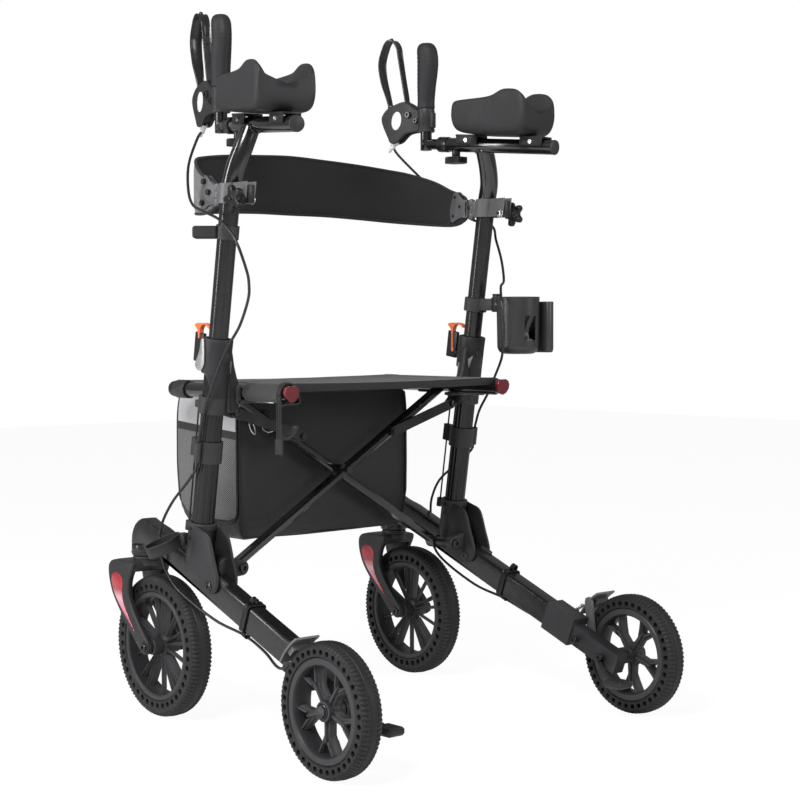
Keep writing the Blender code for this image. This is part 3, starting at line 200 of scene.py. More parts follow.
def surface(name, color, rough, spread=0.18, grain=1400.0, depth=0.00006, metallic=0.0, coat=0.0,
            specular=0.5, painted_edge_highlight=0.0, fine=0.0):
    """A moulded, painted or rubber surface: mottled colour, uneven gloss, fine grain and a painted highlight
    that makes the edges paler.
    """
    material, tree, shader = shader_graph(name)
    where = (tree.nodes.new("ShaderNodeTexCoord"), "Object")
    cloud = add_noise(tree, where, CLOUD_SCALE, 4.0)
    dark, pale = ((*(min(1.0, c * (1 + share)) for c in color), 1) for share in (-spread, spread))
    tint = (ramp_between(tree, cloud, "Fac", 0.3, 0.7, dark, pale), "Color")
    # Painted highlight: edges that stand out get a paler colour.
    if painted_edge_highlight > 0:
        shape = tree.nodes.new("ShaderNodeNewGeometry")
        edge = ramp_between(tree, shape, "Pointiness", 0.53, 0.6, grey(0), grey(painted_edge_highlight))
        mix = add_mix(tree)
        link(tree, edge, "Color", mix, "Factor")
        link(tree, *tint, mix, "A")
        mix.inputs["B"].default_value = (*(min(1.0, c * 3 + 0.05) for c in color), 1)
        tint = (mix, "Result")
    link(tree, *tint, shader, "Base Color")
    smears = add_noise(tree, where, CLOUD_SCALE * 3.1, 5.0)
    gloss = ramp_between(tree, smears, "Fac", 0.25, 0.75, grey(max(0.02, rough - GLOSS_SPREAD)),
                         grey(min(1.0, rough + GLOSS_SPREAD)))
    link(tree, gloss, "Color", shader, "Roughness")
    set_inputs(shader, {"Metallic": metallic, "Specular IOR Level": specular, "Coat Weight": coat,
                        "Coat Roughness": 0.12})
    bump = add_bump(tree, add_noise(tree, where, grain, 2.0), "Fac", 1.0, depth)
    if fine > 0:
        bump = add_bump(tree, add_noise(tree, where, 45.0, 2.0), "Fac", 1.0, fine, bump)
    link(tree, bump, "Normal", shader, "Normal")
    return material


def weave(name, color, second, pitch, rough, depth=0.00025, diagonal=False, sheen=0.3, patch=9.0,
          gaps=False):
    """Woven cloth from the sewn piece's own flat coordinates in metres: two crossing sets of threads."""
    material, tree, shader = shader_graph(name)
    flat = tree.nodes.new("ShaderNodeUVMap")
    flat.uv_map = "cloth"
    turn = tree.nodes.new("ShaderNodeMapping")
    turn.inputs["Rotation"].default_value = (0, 0, math.radians(45 if diagonal else 0))
    link(tree, flat, "UV", turn, "Vector")
    cross = tree.nodes.new("ShaderNodeMath")
    cross.operation = "MULTIPLY" if gaps else "MAXIMUM"
    for index, direction in enumerate("XY"):
        wave = tree.nodes.new("ShaderNodeTexWave")
        wave.wave_type = "BANDS"
        wave.bands_direction = direction
        set_inputs(wave, {"Scale": 0.5 / pitch, "Distortion": 0.35, "Detail": 1.0, "Detail Scale": 3.0})
        link(tree, turn, "Vector", wave, "Vector")
        link(tree, wave, "Fac", cross, index)
    tone = ramp_between(tree, cross, "Value", 0.1, 0.8, (*second, 1), (*color, 1))
    where = (tree.nodes.new("ShaderNodeTexCoord"), "Object")
    cloud = add_noise(tree, where, patch, 4.0)
    shade = ramp_between(tree, cloud, "Fac", 0.25, 0.75, grey(0.72), grey(1.0))
    mix = add_mix(tree)
    mix.blend_type = "MULTIPLY"
    mix.inputs["Factor"].default_value = 1.0
    link(tree, tone, "Color", mix, "A")
    link(tree, shade, "Color", mix, "B")
    link(tree, mix, "Result", shader, "Base Color")
    uneven = ramp_between(tree, cloud, "Fac", 0.2, 0.8, grey(rough - 0.07), grey(rough + 0.07))
    link(tree, uneven, "Color", shader, "Roughness")
    set_inputs(shader, {"Sheen Weight": sheen, "Sheen Roughness": 0.45})
    bump = add_bump(tree, cross, "Value", 0.8, depth)
    folds = add_bump(tree, add_noise(tree, where, 22.0, 3.0), "Fac", 0.7, 0.0015, bump)
    link(tree, folds, "Normal", shader, "Normal")
    return material


M = {
    "gloss": surface("gloss_black", (0.006, 0.006, 0.0065), 0.17, grain=500, depth=0.00001, coat=0.8,
                     fine=0.00004),
    "satin": surface("satin_black", (0.012, 0.012, 0.013), 0.25, grain=900, depth=0.00002, coat=0.1,
                     fine=0.00005),
    "anodised": surface("anodised_black", (0.012, 0.012, 0.013), 0.2, grain=700, depth=0.00002, metallic=0.3,
                        fine=0.00004),
    "plastic": surface("grained_plastic", (0.025, 0.025, 0.027), 0.45, grain=2600, depth=0.00006, painted_edge_highlight=0.35,
                       specular=0.3),
    "black_plastic": surface("black_plastic", (0.008, 0.008, 0.009), 0.36, grain=2600, depth=0.00005,
                             painted_edge_highlight=0.2, specular=0.35),
    "rim": surface("rim_plastic", (0.026, 0.026, 0.028), 0.42, grain=2200, depth=0.00006, painted_edge_highlight=0.4,
                   specular=0.3),
    "tyre": surface("tyre_rubber", (0.018, 0.018, 0.019), 0.52, grain=1800, depth=0.00008, spread=0.25,
                    painted_edge_highlight=0.2, specular=0.28),
    # Painted shade: near black for the bottoms of the tyre holes and for the holes of the brake lever.
    "hole": surface("painted_hole_shade", (0.004, 0.004, 0.004), 0.8),
    "sheet": surface("grey_sheet", (0.115, 0.115, 0.12), 0.42, grain=1500, depth=0.00004, metallic=0.2,
                     painted_edge_highlight=0.3),
    "steel": surface("bright_steel", (0.62, 0.62, 0.63), 0.22, grain=900, depth=0.00002, metallic=1.0,
                     spread=0.08),
    "dark_steel": surface("dark_bolt", (0.05, 0.05, 0.052), 0.3, grain=900, depth=0.00002, metallic=0.8),
    "foam": surface("pad_skin", (0.03, 0.03, 0.032), 0.5, grain=850, depth=0.00014, spread=0.12, fine=0.0002,
                    specular=0.28),
    "grip": surface("grip_rubber", (0.024, 0.024, 0.026), 0.54, grain=1500, depth=0.0001, spread=0.15,
                    specular=0.25),
    "orange": surface("orange_tab", (0.86, 0.17, 0.055), 0.32, grain=1800, depth=0.00003, spread=0.08),
    "silver": surface("silver_lever", (0.45, 0.45, 0.46), 0.3, grain=1200, depth=0.00003, metallic=0.55),
    "cup": surface("cup_plastic", (0.03, 0.03, 0.032), 0.34, grain=2400, depth=0.00003, painted_edge_highlight=0.3),
    "white": surface("white_adjuster", (0.75, 0.75, 0.74), 0.35, grain=1800, depth=0.00003, spread=0.05),
    "cable": surface("cable_sheath", (0.014, 0.014, 0.015), 0.3, grain=1200, depth=0.00003),
    "nylon": weave("black_nylon", (0.014, 0.014, 0.015), (0.005, 0.005, 0.006), 0.0009, 0.46, 0.00012,
                   patch=6.0, sheen=0.08),
    "binding": weave("black_binding", (0.013, 0.013, 0.014), (0.006, 0.006, 0.006), 0.0012, 0.62, 0.0002,
                     sheen=0.08),
    "seat": weave("seat_cloth", (0.042, 0.042, 0.044), (0.018, 0.018, 0.019), 0.0013, 0.58, 0.0002,
                  patch=5.0, sheen=0.2),
    "mesh": weave("grey_mesh", (0.42, 0.42, 0.43), (0.03, 0.03, 0.031), 0.0042, 0.6, 0.0005, True,
                  gaps=True),
    "panel": weave("pale_panel", (0.52, 0.52, 0.53), (0.4, 0.4, 0.41), 0.001, 0.6, 0.00012),
    "belt_inside": weave("belt_lining", (0.01, 0.01, 0.011), (0.003, 0.003, 0.003), 0.0022, 0.72, 0.0005,
                         True, sheen=0.04),
    "belt_outside": weave("belt_cover", (0.16, 0.16, 0.165), (0.09, 0.09, 0.093), 0.0011, 0.55, 0.00015),
}


def reflector_material(name, deep, pale=None):
    """Clear red plastic over fine prisms. With a second colour it gets a painted highlight, a pale band part
    way down the piece.
    """
    material, tree, shader = shader_graph(name)
    place = tree.nodes.new("ShaderNodeTexCoord")
    cells = tree.nodes.new("ShaderNodeTexVoronoi")
    set_inputs(cells, {"Scale": 420.0, "Randomness": 0.0})
    link(tree, place, "Object", cells, "Vector")
    tone = ramp_between(tree, cells, "Distance", 0.1, 0.6, (*deep, 1), (*(c * 0.45 for c in deep), 1))
    # Painted highlight: a pale pink band part way down the piece that fades back to deep red.
    if pale:
        split = tree.nodes.new("ShaderNodeSeparateXYZ")
        link(tree, place, "Object", split, "Vector")
        spread = tree.nodes.new("ShaderNodeMapRange")
        set_inputs(spread, {"From Min": 0.228, "From Max": 0.15})
        link(tree, split, "Z", spread, "Value")
        tone = ramp_between(tree, spread, "Result", 0.0, 1.0, (*deep, 1), (0.55, 0.02, 0.06, 1))
        for position, color in ((0.22, deep), (0.4, pale), (0.62, (0.72, 0.2, 0.27)),
                                (0.82, (0.62, 0.05, 0.11))):
            tone.color_ramp.elements.new(position).color = (*color, 1)
    link(tree, tone, "Color", shader, "Base Color")
    set_inputs(shader, {"Roughness": 0.22, "Coat Weight": 0.8, "Coat Roughness": 0.06})
    link(tree, add_bump(tree, cells, "Distance", 0.8, 0.0004), "Normal", shader, "Normal")
    return material


M["red"] = reflector_material("red_reflector", (0.26, 0.004, 0.014))
# The fork insert carries the painted highlight.
M["insert"] = reflector_material("fork_insert", (0.4, 0.008, 0.022), (0.7, 0.38, 0.42))


# Tools for pieces


def facing(along, up=UP):
    """A rotation whose Z runs along the first direction and whose Y stays near the second."""
    z = Vector(along).normalized()
    x = Vector(up).cross(z)
    if x.length < 1e-6:
        x = Vector(OUT) if abs(z.x) < 0.9 else Vector((0, 1, 0))
        x = x - z * x.dot(z)
    x.normalize()
    return Matrix((x, z.cross(x), z)).transposed()


def curved(a, b, c, d, t):
    """A point of the smooth line between the second and the third of four points."""
    square = 2 * a - 5 * b + 4 * c - d
    cube = 3 * b - a - 3 * c + d
    return 0.5 * (2 * b + (c - a) * t + square * t ** 2 + cube * t ** 3)


def smooth(points, steps):
    """Points of a smooth line through the given points."""
    points = [Vector(p) for p in points]
    ends = [2 * points[0] - points[1], *points, 2 * points[-1] - points[-2]]
    line = [curved(*ends[i:i + 4], k / steps) for i in range(len(ends) - 3) for k in range(steps)]
    return [*line, points[-1]]


def smooth_loop(points, steps):
    """Points of a smooth closed line."""
    points = [Vector(p) for p in points]
    ends = [points[-1], *points, *points[:2]]
    return [curved(*ends[i:i + 4], k / steps) for i in range(len(points)) for k in range(steps)]


def rounded(outline, steps):
    """A flat outline made smooth."""
    return [tuple(p)[:2] for p in smooth_loop([(u, v, 0) for u, v in outline], steps)]


def mirrored(points, *middle):
    """Points of one half, the middle, and the same points on the other side."""
    return [*points, *middle, *((u, -v) for u, v in points[::-1])]


def angles(count):
    """Even steps of a full turn."""
    return [2 * math.pi * k / count for k in range(count)]


def skin(rings, closed=True, caps=True, into=None):
    """Faces through rings of points. Flat coordinates in metres go into the layer named cloth."""
    bm = into or bmesh.new()
    flat = bm.loops.layers.uv.get("cloth") or bm.loops.layers.uv.new("cloth")
    made = [[bm.verts.new(p) for p in ring] for ring in rings]
    count = len(rings[0])
    span = count if closed else count - 1
    across = [[0.0] for _ in rings]
    along = [[0.0] * (count + 1)]
    for i, points in enumerate(rings):
        for k in range(count):
            across[i].append(across[i][-1] + (Vector(points[(k + 1) % count]) - Vector(points[k])).length)
    for i in range(1, len(rings)):
        along.append([along[-1][k] + (Vector(rings[i][k % count]) - Vector(rings[i - 1][k % count])).length
                      for k in range(count + 1)])
    for i in range(len(rings) - 1):
        for k in range(span):
            n = (k + 1) % count
            face = bm.faces.new((made[i][k], made[i][n], made[i + 1][n], made[i + 1][k]))
            face.smooth = True
            spots = ((i, k), (i, k + 1), (i + 1, k + 1), (i + 1, k))
            for loop, (row, column) in zip(face.loops, spots):
                loop[flat].uv = (across[row][column], along[row][column])
    if caps and closed:
        for points in (made[0], made[-1]):
            if len(set(points)) > 2:
                bm.faces.new(points)
    return bm


def turned(profile, origin, along, steps=48, closed=False, into=None):
    """A turned shape from (radius, height) points."""
    turn = facing(along)
    rings = [[Vector(origin) + turn @ Vector((r * math.cos(a), r * math.sin(a), h)) for r, h in profile]
             for a in angles(steps)]
    rings.append(rings[0])
    bm = skin(rings, closed, False, into)
    bmesh.ops.remove_doubles(bm, verts=bm.verts, dist=1e-6)
    return bm


def swept(points, radius, sides=16, into=None):
    """A round tube or cord along the points, with its radius fixed or given at each point."""
    rings = []
    points = [Vector(p) for p in points]
    tangent = (points[1] - points[0]).normalized()
    side = tangent.orthogonal()
    side = (side - tangent * side.dot(tangent)).normalized()
    for i, point in enumerate(points):
        after = points[min(i + 1, len(points) - 1)] - points[max(i - 1, 0)]
        tangent = after.normalized()
        side = (side - tangent * side.dot(tangent)).normalized()
        other = tangent.cross(side)
        size = radius[i] if isinstance(radius, (list, tuple)) else radius
        rings.append([point + side * math.cos(a) * size + other * math.sin(a) * size for a in angles(sides)])
    return skin(rings, True, True, into)


def rod(start, end, radius, sides=24, into=None, end_radius=None, edge=0.0006):
    """A round bar with softened ends."""
    start = Vector(start)
    end = Vector(end)
    length = (end - start).length
    last = radius if end_radius is None else end_radius
    edge = min(edge, length / 3, radius / 2)
    return turned([(0, 0), (radius - edge, 0), (radius - edge * 0.3, edge * 0.3), (radius, edge),
                   (last, length - edge), (last - edge * 0.3, length - edge * 0.3), (last - edge, length),
                   (0, length)],
                  start, end - start, sides, False, into)


def plate(outline, thick, origin, along, bevel=0.001, segments=2, into=None):
    """A flat piece with softened rims."""
    made = bmesh.new()
    turn = facing(along)
    low, high = ([made.verts.new(Vector(origin) + turn @ Vector((*p, height))) for p in outline]
                 for height in (-thick / 2, thick / 2))
    count = len(low)
    ends = [made.faces.new(low), made.faces.new(high)]
    for k in range(count):
        made.faces.new((low[k], low[(k + 1) % count], high[(k + 1) % count], high[k]))
    bmesh.ops.recalc_face_normals(made, faces=made.faces)
    if bevel > 0:
        rims = list({edge for face in ends for edge in face.edges})
        bmesh.ops.bevel(made, geom=rims, offset=bevel, segments=segments, affect="EDGES", profile=0.5)
    return merged(made, into)


def merged(made, into):
    """Adds one mesh to another, or returns it as it is."""
    if into is None:
        return made
    mesh = bpy.data.meshes.new("part")
    made.to_mesh(mesh)
    made.free()
    into.from_mesh(mesh)
    bpy.data.meshes.remove(mesh)
    return into


def block(center, size, turn=None, bevel=0.001, segments=2, into=None):
    """A box with softened edges."""
    made = bmesh.new()
    bmesh.ops.create_cube(made, size=1.0)
    bmesh.ops.scale(made, vec=size, verts=made.verts)
    if bevel > 0:
        bmesh.ops.bevel(made, geom=made.edges, offset=bevel, segments=segments, affect="EDGES", profile=0.5)
    place = Matrix.Translation(center)
    if turn is not None:
        place = place @ turn.to_4x4()
    made.transform(place)
    return merged(made, into)


def bolt(center, along, radius, height=0.004, into=None):
    """A round bolt head with a hexagon socket, standing on a point."""
    turn = facing(along)
    head = ((radius, 0), (radius, height * 0.6), (radius * 0.86, height))
    socket = ((radius * 0.5, height), (radius * 0.5 * 0.98, height * 0.35))
    rings = []
    for a in angles(24):
        flat = 0.93 / max(0.866, math.cos((a % (math.pi / 3)) - math.pi / 6))
        profile = [*head, *((r * flat, h) for r, h in socket), (0, height * 0.3)]
        rings.append([Vector(center) + turn @ Vector((r * math.cos(a), r * math.sin(a), h)) for r,
                      h in profile])
    rings.append(rings[0])
    made = skin(rings, False, False)
    bmesh.ops.remove_doubles(made, verts=made.verts, dist=1e-6)
    return merged(made, into)


def body_name(kind, side):
    """The body that a piece of one side moves with."""
    special = {"side": f"{side}_side", "soft_goods": "soft_goods",
               "bars": "first_bar" if side == "right" else "second_bar"}
    return special.get(kind, f"{kind}_{side}")


def soften(obj, width, segments, degrees, harden=True):
    """Rounds the edges that turn by more than an angle."""
    soft = obj.modifiers.new("edges", "BEVEL")
    soft.width = width
    soft.segments = segments
    soft.limit_method = "ANGLE"
    soft.angle_limit = math.radians(degrees)
    soft.harden_normals = harden


def piece(bm, name, material, body, replaces=(), angle=34, subdivide=0, bevel=0.0, mirror=True):
    """Makes the piece on the right and, unless told otherwise, its mirror image on the left."""
    bmesh.ops.remove_doubles(bm, verts=bm.verts, dist=2e-6)
    bmesh.ops.recalc_face_normals(bm, faces=bm.faces)
    limit = math.radians(angle)
    for face in bm.faces:
        face.smooth = True
    for edge in bm.edges:
        edge.smooth = len(edge.link_faces) == 2 and edge.calc_face_angle(0) < limit
    made = []
    for side in (("right", "left") if mirror else ("one",)):
        mesh = bpy.data.meshes.new(name)
        bm.to_mesh(mesh)
        if side == "left":
            mesh.transform(Matrix.Diagonal((-1, 1, 1, 1)))
            mesh.flip_normals()
        full = name if side == "one" else f"{name}_{side}"
        obj = bpy.data.objects.new(full, mesh)
        bpy.context.scene.collection.objects.link(obj)
        for material_name in ([material] if isinstance(material, str) else material):
            obj.data.materials.append(M[material_name])
        if bevel > 0:
            soften(obj, bevel, 2, 35)
        if subdivide:
            smoothed = obj.modifiers.new("smooth", "SUBSURF")
            smoothed.levels = subdivide
            smoothed.render_levels = subdivide
        if body:
            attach(obj, body if side == "one" else body_name(body, side))
        nodes = [n if side == "one" else f"{n}_{side}" for n in replaces]
        if nodes:
            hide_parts(*nodes)
        made.append(obj)
    bm.free()
    return made


# Wheels


def tyre_piece(name, radius, width, inner, center, body, blocks, holes, hole_ring, hole_radius):
    """A solid rubber tyre: shoulder blocks, a groove round the middle and blind holes in the sidewalls, with
    painted shade on their bottoms.
    """
    half = width / 2
    low, high = inner + 0.002, radius * 0.925
    steps = blocks * 4
    lean = math.pi / steps
    bm = bmesh.new()
    rings = []
    for k, a in enumerate(angles(steps)):
        cut = 0.0016 if k % 4 >= 2 else 0.0
        shoulder = [(inner, half - 0.003), (low, half), (high, half),
                    (radius - 0.0052 - cut * 0.3, half - 0.0008 - cut),
                    (radius - 0.0022 - cut, half - 0.0045 - cut * 0.4), (radius - 0.0008 - cut, half * 0.55),
                    (radius - 0.0006 - cut * 0.8, half * 0.4), (radius - 0.0017, half * 0.33),
                    (radius - 0.0005, half * 0.26)]
        ring = []
        for index, (r, h) in enumerate(mirrored(shoulder, (radius, 0))):
            turn = a + (lean if 3 <= index <= 6 else -lean if 12 <= index <= 15 else 0)
            ring.append(Vector((h, r * math.cos(turn), r * math.sin(turn))) + center)
        rings.append(ring)
    rings.append(rings[0])
    skin(rings, False, False, bm)
    flats = [f for f in bm.faces if all(abs(abs(v.co.x - center.x) - half) < 1e-6 for v in f.verts)]
    bmesh.ops.delete(bm, geom=flats, context="FACES")
    grid = [(1, 0), (1, 0.5), (1, 1), (0.5, 1), (0, 1), (-0.5, 1), (-1, 1), (-1, 0.5), (-1, 0), (-1, -0.5),
            (-1, -1), (-0.5, -1), (0, -1), (0.5, -1), (1, -1), (1, -0.5)]
    for sign in (1, -1):

        def spot(r, a, deep=0.0):
            return bm.verts.new(Vector((sign * (half - deep), r * math.cos(a), r * math.sin(a))) + center)

        for k in range(holes):
            middle = 2 * math.pi * (k + 0.5) / holes
            rims = [[spot((low + high) / 2 + v * (high - low) / 2, middle + u * math.pi / holes) for u,
                     v in grid]]
            for size, deep in ((1.0, 0.0), (0.93, 0.0009), (0.86, 0.0095)):
                reach = hole_radius * size
                rims.append([spot(hole_ring + reach * math.sin(a), middle + reach * math.cos(a) / hole_ring,
                                  deep)
                             for a in angles(16)])
            for first, second in zip(rims, rims[1:]):
                for i in range(16):
                    bm.faces.new((first[i], first[(i + 1) % 16], second[(i + 1) % 16], second[i]))
            # The bottom of each hole gets the near-black painted shade.
            bm.faces.new(rims[-1]).material_index = 1
    piece(bm, name, ("tyre", "hole"), body, (name,))


def rim_ring(center, outer, half, edge, radii):
    """The ring under a tyre, with a flange on each side."""
    first, second, third, middle = radii
    upper = [(outer, half - 0.002), (outer - 0.0015, half - edge), (first, half - edge),
             (second, half - 0.003), (third, half - 0.012)]
    lower = [(r, -h) for r, h in upper[::-1]]
    return turned([lower[-1], *upper, (middle, 0), *lower[:-1]], center, OUT, 96, True)


def spun(shape, degrees):
    """A flat shape of (radius, sideways) points, turned round the axle."""
    turn = Matrix.Rotation(math.radians(degrees), 3, "X")
    return [tuple((turn @ Vector((0, r, s)))[1:]) for r, s in shape]


def spoke_set(bm, center, start, shape, thick, rib=None, bevel=0.0018):
    """Five spokes cut from plate, each with a raised rib along its middle."""
    for k in range(5):
        plate(spun(shape, start + 72 * k), thick, center, OUT, bevel, into=bm)
        if rib:
            plate(spun(rib, start + 72 * k), thick + 0.008, center, OUT, 0.001, into=bm)


def rim_pins(bm, center, count, start, signs, out, ring, long, radius, sides):
    """Small round bosses in a ring on the hub."""
    for k in range(count):
        a = math.radians(start + 360 / count * k)
        for sign in signs:
            spot = center + Vector((sign * out, ring * math.cos(a), ring * math.sin(a)))
            rod(spot, spot + Vector((sign * long, 0, 0)), radius, sides, bm, edge=0.0003)


def rear_wheel():
    outer = REAR_RADIUS * 0.77
    tyre_piece("rear_tyre", REAR_RADIUS, REAR_WIDTH, outer, REAR_WHEEL, "rear_wheel", 84, 38, 0.0872, 0.0043)
    bm = rim_ring(REAR_WHEEL, outer, REAR_WIDTH / 2, 0.0008, (0.0688, 0.0668, 0.065, 0.0645))
    fork_half = [(0.012, -0.0075), (0.034, -0.0062), (0.0455, -0.0115), (0.0655, -0.0195), (0.0665, -0.0135),
                 (0.051, -0.0048)]
    spoke_set(bm, REAR_WHEEL, 54, mirrored(fork_half, (0.047, 0.0)), 0.014,
              mirrored([(0.012, -0.0016), (0.046, -0.0014)]))
    for k in range(5):
        for sign in (1, -1):
            brace = [(0.044, sign * 0.006), (0.0655, sign * 0.0178), (0.066, sign * 0.0154),
                     (0.0465, sign * 0.0042)]
            plate(spun(brace, 54 + 72 * k), 0.022, REAR_WHEEL, OUT, 0.0008, into=bm)
    turned([(0.0063, -0.0195), (0.012, -0.0195), (0.0135, -0.018), (0.014, -0.006), (0.019, -0.0045),
            (0.0205, -0.002), (0.0205, 0.002), (0.019, 0.0045), (0.0165, 0.006), (0.016, 0.012),
            (0.015, 0.015), (0.0125, 0.0152), (0.012, 0.0135), (0.0063, 0.0135)], REAR_WHEEL, OUT, 48, True,
           bm)
    rim_pins(bm, REAR_WHEEL, 5, 18, (1,), 0.0032, 0.0172, 0.003, 0.0022, 12)
    piece(bm, "rear_rim", "rim", "rear_wheel", ("rear_rim",))
    bm = turned([(0.0063, 0.0136), (0.0112, 0.0136), (0.0112, 0.0156), (0.0095, 0.0162), (0.008, 0.0156),
                 (0.0063, 0.0156)], REAR_WHEEL, OUT, 40, True)
    piece(bm, "rear_bearing", "dark_steel", "rear_wheel")


def front_wheel():
    outer = FRONT_RADIUS * 0.76
    tyre_piece("front_tyre", FRONT_RADIUS, FRONT_WIDTH, outer, FRONT_WHEEL, "front_wheel", 100, 40, 0.1006,
               0.0048)
    bm = rim_ring(FRONT_WHEEL, outer, FRONT_WIDTH / 2, 0.001, (0.085, 0.0828, 0.0818, 0.0812))
    for sign in (1, -1):
        slim = [(0.016, sign * 0.0035), (0.083, sign * 0.015), (0.083, sign * 0.0078),
                (0.018, sign * 0.0005)]
        rib = [(0.02, sign * 0.0026), (0.082, sign * 0.0126), (0.082, sign * 0.0102), (0.02, sign * 0.0012)]
        spoke_set(bm, FRONT_WHEEL, 18, slim, 0.013, rib, 0.0012)
        if sign > 0:
            thin = mirrored([(0.018, 0.001), (0.083, 0.001)])
            spoke_set(bm, FRONT_WHEEL, 54, thin, 0.01, None, 0.0006)
    hub = [(0.0063, -0.0265), (0.013, -0.0265), (0.014, -0.025), (0.0145, -0.008), (0.02, -0.006),
           (0.022, -0.003)]
    turned(mirrored(hub), FRONT_WHEEL, OUT, 48, True, bm)
    rim_pins(bm, FRONT_WHEEL, 10, 0, (1, -1), 0.005, 0.0182, 0.003, 0.0019, 10)
    piece(bm, "front_rim", "rim", "front_wheel", ("front_rim",))


# Caster fork


def fork():
    axle = (FRONT_WHEEL.y, FRONT_WHEEL.z)
    outline = [(0.288, 0.26), (0.318, 0.2612), (0.347, 0.26), (0.359, 0.253), (0.3618, 0.242),
               (0.359, 0.224), (0.35, 0.203), (0.337, 0.186), (0.322, 0.1695), (0.304, 0.152),
               (0.286, 0.1345), (0.27, 0.119), (0.261, 0.112), (0.2545, 0.1085), (0.247, 0.108),
               (0.2405, 0.112), (0.237, 0.119), (0.2385, 0.127), (0.245, 0.135), (0.26, 0.15),
               (0.275, 0.1665), (0.288, 0.1835), (0.296, 0.199), (0.2985, 0.212), (0.296, 0.229),
               (0.288, 0.244), (0.2845, 0.253)]
    line = rounded(outline, 3)
    bm = bmesh.new()
    for sign in (1, -1):
        plate(line, 0.0112, (CASTER[0] + sign * 0.0336, 0, 0), OUT, bevel=0.0036, segments=3, into=bm)
    block((CASTER[0], 0.3165, 0.2522), (0.0715, 0.064, 0.0178), None, 0.005, 3, bm)
    turned([(0, 0.2505), (0.0212, 0.2505), (0.0232, 0.2525), (0.0232, 0.26), (0.022, 0.2612), (0.022, 0.264),
            (0.0232, 0.2652), (0.0228, 0.268), (0.0205, 0.2697), (0, 0.2697)],
           (CASTER[0], CASTER[1], 0), UP, 48, False, bm)
    rod((CASTER[0], CASTER[1], 0.262), (CASTER[0], CASTER[1], 0.312), 0.0078, 24, bm)
    piece(bm, "caster_fork", "plastic", "caster", ("caster_fork",))
    insert = [(0.3395, 0.2385), (0.348, 0.233), (0.35, 0.224), (0.3455, 0.211), (0.336, 0.197),
              (0.323, 0.183), (0.308, 0.169), (0.293, 0.156), (0.279, 0.144), (0.286, 0.1535),
              (0.299, 0.169), (0.309, 0.183), (0.315, 0.196), (0.3165, 0.208), (0.315, 0.219),
              (0.3165, 0.23), (0.326, 0.2375)]
    line = rounded(insert, 3)
    bm = bmesh.new()
    for sign in (1, -1):
        plate(line, 0.003, (CASTER[0] + sign * 0.0384, 0, 0), OUT, bevel=0.0009, segments=3, into=bm)
    piece(bm, "fork_insert", "insert", "caster", angle=50)
    bm = bmesh.new()
    for sign in (1, -1):
        rod((CASTER[0] + sign * 0.0385, *axle), (CASTER[0] + sign * 0.0402, *axle), 0.0105, 32, bm,
            edge=0.0005)
        bolt((CASTER[0] + sign * 0.0402, *axle), (sign, 0, 0), 0.0075, 0.0034, bm)
        rod((CASTER[0] + sign * 0.03, *axle), (CASTER[0] + sign * 0.0266, *axle), 0.0095, 24, bm)
    rod((CASTER[0] - 0.035, *axle), (CASTER[0] + 0.035, *axle), 0.0055, 20, bm)
    piece(bm, "caster_bolts", "dark_steel", "caster")


# Side frame


def leg_piece():
    half = 0.022
    top = CASTER[1] + 0.023
    back = CASTER[1] - 0.023
    bottom = on_leg(back + 0.002, -half)
    low = [on_leg(-0.172, -half)[1:], on_leg(0.05, -half)[1:], on_leg(back - 0.018, -half)[1:],
           (bottom.y - 0.006, bottom.z - 0.003), (back - 0.001, bottom.z - 0.004), (back, 0.2845)]
    over = [(top, 0.2845), (top, 0.294), (top - 0.0012, 0.304), (top - 0.0052, 0.314),
            (top - 0.0115, 0.3225),
            (top - 0.02, 0.3292), (top - 0.03, 0.3335), (top - 0.041, 0.3345), (back, 0.3325),
            (back - 0.01, 0.3285), on_leg(back - 0.03, half)[1:], on_leg(0.05, half)[1:],
            on_leg(-0.172, half)[1:]]
    bm = plate([(y, z) for y, z in low + over], 0.03, (LEG_X, 0, 0), OUT, bevel=0.0058, segments=4)
    rod((CASTER[0], CASTER[1], 0.2702), (CASTER[0], CASTER[1], 0.288), 0.025, 48, bm, edge=0.0012)
    turned([(0.025, 0.2735), (0.0258, 0.2742), (0.0258, 0.2765), (0.025, 0.2772), (0.024, 0.2772),
            (0.024, 0.2735)],
           (CASTER[0], CASTER[1], 0), UP, 48, True, bm)
    piece(bm, "leg", "satin", "side", ("leg",))
    bm = bmesh.new()
    block(on_leg(-0.1725), (0.0265, 0.004, 0.039), LEG_TURN, 0.001, 2, bm)
    piece(bm, "leg_plug", "black_plastic", "side")


def fluted(low, high, radius, flutes, depth, steps, phase):
    """A tube on the post axis with shallow flutes along it."""
    rings = []
    for z in (low, low + 0.0006, high - 0.0006, high):
        shrink = 0.0005 if z in (low, high) else 0.0
        ring = []
        for a in angles(steps):
            wave = (math.cos(flutes * a + phase) + 1) / 2
            r = radius - shrink - depth * (1 - wave ** 0.35)
            ring.append(on_post(z) + Vector(OUT) * math.cos(a) * r + POST_AHEAD * math.sin(a) * r)
        rings.append(ring)
    return skin(rings)


